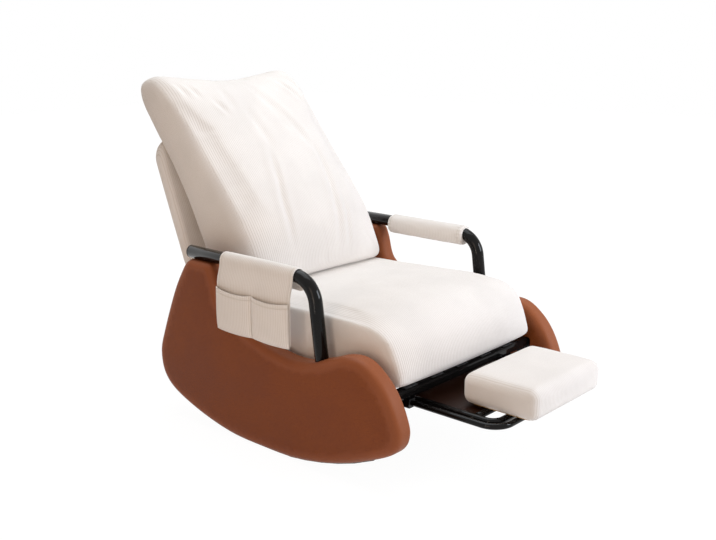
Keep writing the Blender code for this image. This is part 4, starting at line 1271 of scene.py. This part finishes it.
def add_creases(mesh, forward):
    """Creases on the face: places are (X, distance up the face from its lower middle)."""
    points = coords(mesh)
    facing = normals(mesh)
    back, up = CREASE_FOOT
    foot = np.array((0.0, BACK_CUSHION_FRONT_Y + back, BACK_CUSHION_FOOT_Z + up))
    along = (points - foot) @ np.array(FACE_RISE)
    x = points[:, 0]
    face = np.clip(facing @ np.array(forward) * 1.6 - 0.25, 0.0, 1.0)
    shift = np.zeros(len(points))
    lines = (
        ([(-0.046, 0.250), (-0.081, 0.133), (-0.107, 0.052), (-0.126, -0.070)], 0.0085, 0.0085),
        ([(0.146, 0.270), (0.122, 0.146), (0.095, 0.060), (0.045, -0.100)], 0.0095, 0.0095),
        ([(0.138, 0.070), (0.107, -0.030), (0.088, -0.110)], 0.0075, 0.0070),
        ([(0.150, 0.492), (0.186, 0.437), (0.206, 0.384)], 0.0065, 0.0090),
        ([(0.196, 0.500), (0.222, 0.471), (0.234, 0.436)], 0.0055, 0.0075),
        ([(-0.198, 0.494), (-0.185, 0.466), (-0.177, 0.434)], 0.0065, 0.0065),
        ([(-0.142, 0.428), (-0.128, 0.398), (-0.116, 0.366)], 0.0070, 0.0060),
        ([(-0.226, 0.505), (-0.218, 0.474), (-0.213, 0.441)], 0.0060, 0.0050),
        ([(0.022, 0.485), (0.053, 0.397), (0.074, 0.315), (0.110, 0.240)], 0.0130, 0.0055),
        ([(-0.048, 0.390), (-0.035, 0.296), (-0.033, 0.205)], 0.0120, 0.0045),
        ([(0.066, 0.405), (0.105, 0.294), (0.132, 0.195)], 0.0105, 0.0060),
        ([(-0.088, 0.495), (-0.087, 0.436), (-0.083, 0.380)], 0.0110, 0.0045),
    )
    for line, width, depth in lines:
        shift += crease(x, along, line, width, CREASE_DEPTH * depth)
    shift += 0.0030 * ripple(points * (1.0, 0.45, 0.45), 9.0, 4)
    points += facing * (shift * face)[:, None]
    set_coords(mesh, points)
    set_coords(mesh, blurred(mesh, coords(mesh), 1))


def make_back_panel():
    """The padded panel behind the cushion: a softly rounded slab."""
    half_w = BACK_PANEL_HALF_WIDTH
    height = BACK_PANEL_TOP - BACK_PANEL_FOOT
    half_t = BACK_PANEL_THICKNESS / 2
    obj = rounded_slab("back_shell", half_w, height / 2, half_t, BACK_PANEL_CORNER_R, 0.017)
    mesh = obj.data
    points = coords(mesh)
    x, up, out = points[:, 0], points[:, 1], points[:, 2]
    belly = 0.0030 * (1 - (x / half_w) ** 2) * (1 - (2 * up / height) ** 2)
    out = out - np.where(out < 0, belly, 0.0)
    out = out + 0.0008 * ripple(points, 8.0, 6) * np.where(out < 0, 1.0, 0.0)
    along = up + (BACK_PANEL_TOP + BACK_PANEL_FOOT) / 2
    y = HINGE_Y - out * BACK_COS + along * BACK_SIN
    z = HINGE_Z + out * BACK_SIN + along * BACK_COS
    set_coords(mesh, np.stack([x, y, z], 1))
    fix_normals(mesh)
    set_attribute(mesh, "seam", np.full(len(points), FAR))
    set_ribs(mesh, lambda point, normal: (point[0], point[2]))
    cream_piece(obj, "backrest", "backrest_panel")


def rounded_slab(name, half_x, half_y, half_z, corner, edge):
    """A slab in (X, Y) with rounded corners and a rounded edge, its middle at the origin."""
    outline = []
    for quarter, (sx, sy) in enumerate(((1, -1), (1, 1), (-1, 1), (-1, -1))):
        for k in range(17):
            angle = math.pi / 2 * (quarter - 1 + k / 16)
            outline.append((sx * (half_x - corner) + corner * math.cos(angle),
                            sy * (half_y - corner) + corner * math.sin(angle)))
    outline = evenly(np.array(outline), 0.010, True)
    into = inward(outline)
    section = [(0.0, 0.0), *quarter_round(edge, half_z, 7)]
    rings = both_halves(section + [(edge + more, half_z) for more in (0.015, 0.035, 0.048)])
    verts = []
    for d, z in rings:
        for (x, y), (ix, iy) in zip(outline, into):
            verts.append((x + ix * d, y + iy * d, z))
    faces = grid_faces(len(rings), len(outline))
    loop = outline + into * rings[-1][0]
    inside = points_within(loop, 0.016, 0.008, 0)

    def on_face(face, x, y, depth):
        return x, y, face * half_z

    close_slab(verts, faces, loop, inside, len(rings), on_face)
    obj = new_object(name, verts, faces)
    fix_normals(obj.data)
    return obj


def make_back_frame():
    """The steel hoop inside the back panel; its legs show below the panel."""
    foot, top, x = BACK_TUBE_FOOT, BACK_TUBE_TOP, BACK_TUBE_X
    corners = [(-x, 0, foot), (-x, 0, top), (x, 0, top), (x, 0, foot)]
    bent = bent_path(corners, BACK_TUBE_BEND_R)
    path = [(p.x, HINGE_Y + p.z * BACK_SIN, HINGE_Z + p.z * BACK_COS) for p in bent]
    steel_tube("back_hoop", path, BACK_TUBE_R, 28, "backrest", "backrest_frame")


# Footrest


def make_footrest():
    """The sliding tube, the loop inside it, the cross bar, the apron and the pad."""

    def hoop(x, rear_y, front_y, z, bend):
        return bent_path([(-x, rear_y, z), (-x, front_y, z), (x, front_y, z), (x, rear_y, z)], bend)

    path = hoop(LEG_X, LEG_REAR_Y, FRONT_BAR_Y, LEG_Z, FOOT_BEND_R)
    steel_tube("footrest_slider", path, LEG_R, 28, "footrest", "footrest_frame")
    top = LEG_Z + LEG_R
    loop_x = LEG_X - LEG_R - LOOP_SLIT - LOOP_R
    loop_y = FRONT_BAR_Y + LEG_R + LOOP_SLIT + LOOP_R
    z = top - LOOP_R
    path = hoop(loop_x, APRON_REAR_Y, loop_y, z, LOOP_BEND_R)
    steel_tube("footrest_inner_loop", path, LOOP_R, 24, "footrest", "footrest_loop")
    reach = loop_x - LOOP_R - GAP
    path = [(-reach, CROSSBAR_Y, z), (reach, CROSSBAR_Y, z)]
    steel_tube("footrest_bar", path, CROSSBAR_R, 28, "footrest", "footrest_crossbar")
    make_apron(reach, z)
    make_foot_pad(top + GAP)


def make_apron(half_x, height):
    """The leatherette-covered board behind the crossbar, under the front of the seat; its brown is
    darkened as painted shade.
    """
    front = CROSSBAR_Y + CROSSBAR_R + GAP
    size = (2 * half_x, APRON_REAR_Y - front, APRON_THICKNESS)
    middle = (0.0, (APRON_REAR_Y + front) / 2, height)
    shape = bmesh.new()
    bmesh.ops.create_cube(shape, size=1.0)
    bmesh.ops.scale(shape, vec=size, verts=shape.verts[:])
    bmesh.ops.translate(shape, vec=middle, verts=shape.verts[:])
    rounding = {"offset": APRON_EDGE_R, "segments": 4, "profile": 0.5, "affect": "EDGES"}
    bmesh.ops.bevel(shape, geom=shape.edges[:], **rounding)
    obj = bmesh_object("footrest_panel", shape)
    set_attribute(obj.data, "rim", np.zeros(len(obj.data.vertices)))
    # The apron's leatherette is darkened as painted shade, standing in for the shade under the
    # seat.
    finish_piece(obj, LEATHER_DARKENED_AS_SHADE, "footrest", ["footrest_apron"])
    obj.data.set_sharp_from_angle(angle=math.radians(60))


def make_foot_pad(bottom):
    """The foot pad: a firm soft-edged box, crowned on top and boxed round the sides."""
    half = np.array((PAD_HALF_WIDTH, (PAD_REAR_Y - PAD_FRONT_Y) / 2, PAD_HEIGHT / 2 + 0.001))
    centre = np.array((0.0, (PAD_REAR_Y + PAD_FRONT_Y) / 2, bottom + half[2]))
    shape = bmesh.new()
    bmesh.ops.create_cube(shape, size=2.0)
    bmesh.ops.subdivide_edges(shape, edges=shape.edges[:], cuts=47, use_grid_fill=True)
    obj = bmesh_object("foot_pad", shape)
    mesh = obj.data
    unit = coords(mesh)
    unit = np.sign(unit) * (1 - (1 - np.abs(unit)) ** 1.15)
    box = unit * half
    inner = np.clip(box, -(half - PAD_EDGE_R), half - PAD_EDGE_R)
    away = box - inner
    length = np.linalg.norm(away, axis=1, keepdims=True)
    outer = (np.abs(unit) > 0.999).any(1)
    points = np.where(length > 1e-9, inner + away / np.maximum(length, 1e-9) * PAD_EDGE_R, box)
    points = np.where(outer[:, None], points, box)
    share = points / half
    ends = (1 - share[:, 0] ** 4) * (1 - share[:, 1] ** 4)
    puffs = np.zeros_like(points)
    puffs[:, 2] = PAD_CROWN * np.clip(share[:, 2], 0, 1) ** 4 * ends
    for axis, amount in enumerate(PAD_SIDE_PUFF):
        middle = (1 - share[:, 1 - axis] ** 2) * (1 - share[:, 2] ** 2)
        puffs[:, axis] = amount * share[:, axis] ** 5 * middle
    points = points + puffs + centre
    set_coords(mesh, points)
    fix_normals(mesh)
    facing = normals(mesh)
    dents = 0.0010 * ripple(points, 18.0, 9)
    points += facing * (dents * np.clip(facing[:, 2] + 0.6, 0, 1))[:, None]
    points[:, 2] = np.maximum(points[:, 2], bottom)
    set_coords(mesh, points)
    lay_ribs(mesh, lambda point: point[1])
    cream_piece(obj, "footrest", "footrest_pad")


# Solids that keep their shape


def dress_solids():
    """Finishes for the solids that stay, with the edges of the painted and moulded ones eased."""
    finishes = {
        PAINT: ("rail", "flange", "bolt", "slide_guide", "hinge_bracket", "hinge_arm", "hinge_pin",
                "loop_bridge"),
        PLASTIC: ("arm_plug", "guide_bush", "leg_plug"),
        RUBBER: ("rocker_strip",),
        WOOD: ("rocker_core", "footrest_board"),
    }
    for name, node in frame["nodes"].items():
        for material, endings in finishes.items():
            if not name.endswith(endings):
                continue
            node.data.materials.clear()
            node.data.materials.append(material)
            if material in (PAINT, PLASTIC) and not node.hide_render:
                eased = node.modifiers.new("eased", "BEVEL")
                eased.width = SOLID_EDGE_R
                eased.segments = 2
                eased.limit_method = "ANGLE"
                eased.angle_limit = math.radians(40)
                eased.harden_normals = False


# Stage


def make_stage():
    """White floor and world, the lamps and the camera of the photograph."""
    scene = bpy.context.scene
    reach = 9
    corners = [(-reach, -reach, 0), (reach, -reach, 0), (reach, reach, 0), (-reach, reach, 0)]
    floor = new_object("floor", corners, [(0, 1, 2, 3)])
    floor.location.z = -FLOOR_DROP
    made, tree, shader, place = new_material("white_floor")
    shader.inputs["Base Color"].default_value = (0.86, 0.86, 0.86, 1)
    shader.inputs["Roughness"].default_value = 0.9
    shader.inputs["Specular IOR Level"].default_value = 0.1
    glow = add(tree, "Emission", Color=(1, 1, 1, 1), Strength=FLOOR_GLOW)
    away = add(tree, "VectorMath", {"operation": "LENGTH"})
    tree.links.new(place, away.inputs[0])
    share = ranged(tree, away.outputs["Value"], *SHADOW_REACH, SHADOW_GLOW, 1.0)
    share = calc(tree, "MULTIPLY", seen_rays(tree), share)
    show(tree, share, shader, glow, "Material Output")
    floor.data.materials.append(made)
    world = bpy.data.worlds.new("white_world")
    scene.world = world
    world.use_nodes = True
    tree = world.node_tree
    ambient = tree.nodes["Background"]
    ambient.inputs["Color"].default_value = AMBIENT
    ambient.inputs["Strength"].default_value = AMBIENT_STRENGTH
    white = add(tree, "Background", Color=(1, 1, 1, 1), Strength=1.0)
    show(tree, seen_rays(tree), ambient, white, "World Output")
    for lamp in LAMPS:
        add_light(*lamp)
    data = bpy.data.cameras.new("camera")
    data.lens = CAMERA_LENS
    data.sensor_width = 36.0
    camera = bpy.data.objects.new("camera", data)
    camera.location = CAMERA_PLACE
    camera.rotation_euler = [math.radians(angle) for angle in CAMERA_TURN]
    scene.collection.objects.link(camera)
    scene.camera = camera
    scene.view_settings.view_transform = "Standard"


def seen_rays(tree):
    """1 for rays that show the background: from the camera, in reflections and through glass."""
    path = add(tree, "LightPath").outputs
    seen = calc(tree, "MAXIMUM", path["Is Camera Ray"], path["Is Glossy Ray"])
    return calc(tree, "MAXIMUM", seen, path["Is Transmission Ray"])


def show(tree, share, plain, bright, output):
    """Ends a tree in a mix: the bright shader by a share, and the plain one for the rest."""
    mixed = add(tree, "MixShader")
    feed(tree, mixed.inputs[0], share)
    tree.links.new(plain.outputs[0], mixed.inputs[1])
    tree.links.new(bright.outputs[0], mixed.inputs[2])
    tree.links.new(mixed.outputs[0], tree.nodes[output].inputs["Surface"])


def add_light(name, place, target, size, power, colour):
    data = bpy.data.lights.new(name, "AREA")
    data.shape = "RECTANGLE"
    data.size, data.size_y = size
    data.energy = power
    data.color = colour
    lamp = bpy.data.objects.new(name, data)
    lamp.location = place
    lamp.rotation_euler = (Vector(target) - Vector(place)).to_track_quat("-Z", "Y").to_euler()
    bpy.context.scene.collection.objects.link(lamp)


make_stage()
for side_name, side_sign in (("right", -1), ("left", 1)):
    make_rocker(side_name, side_sign)
    make_arm(side_name, side_sign)
make_sleeve()
make_arm_cover()
make_seat()
make_straps()
make_back_frame()
make_back_panel()
make_back_cushion()
make_footrest()
dress_solids()
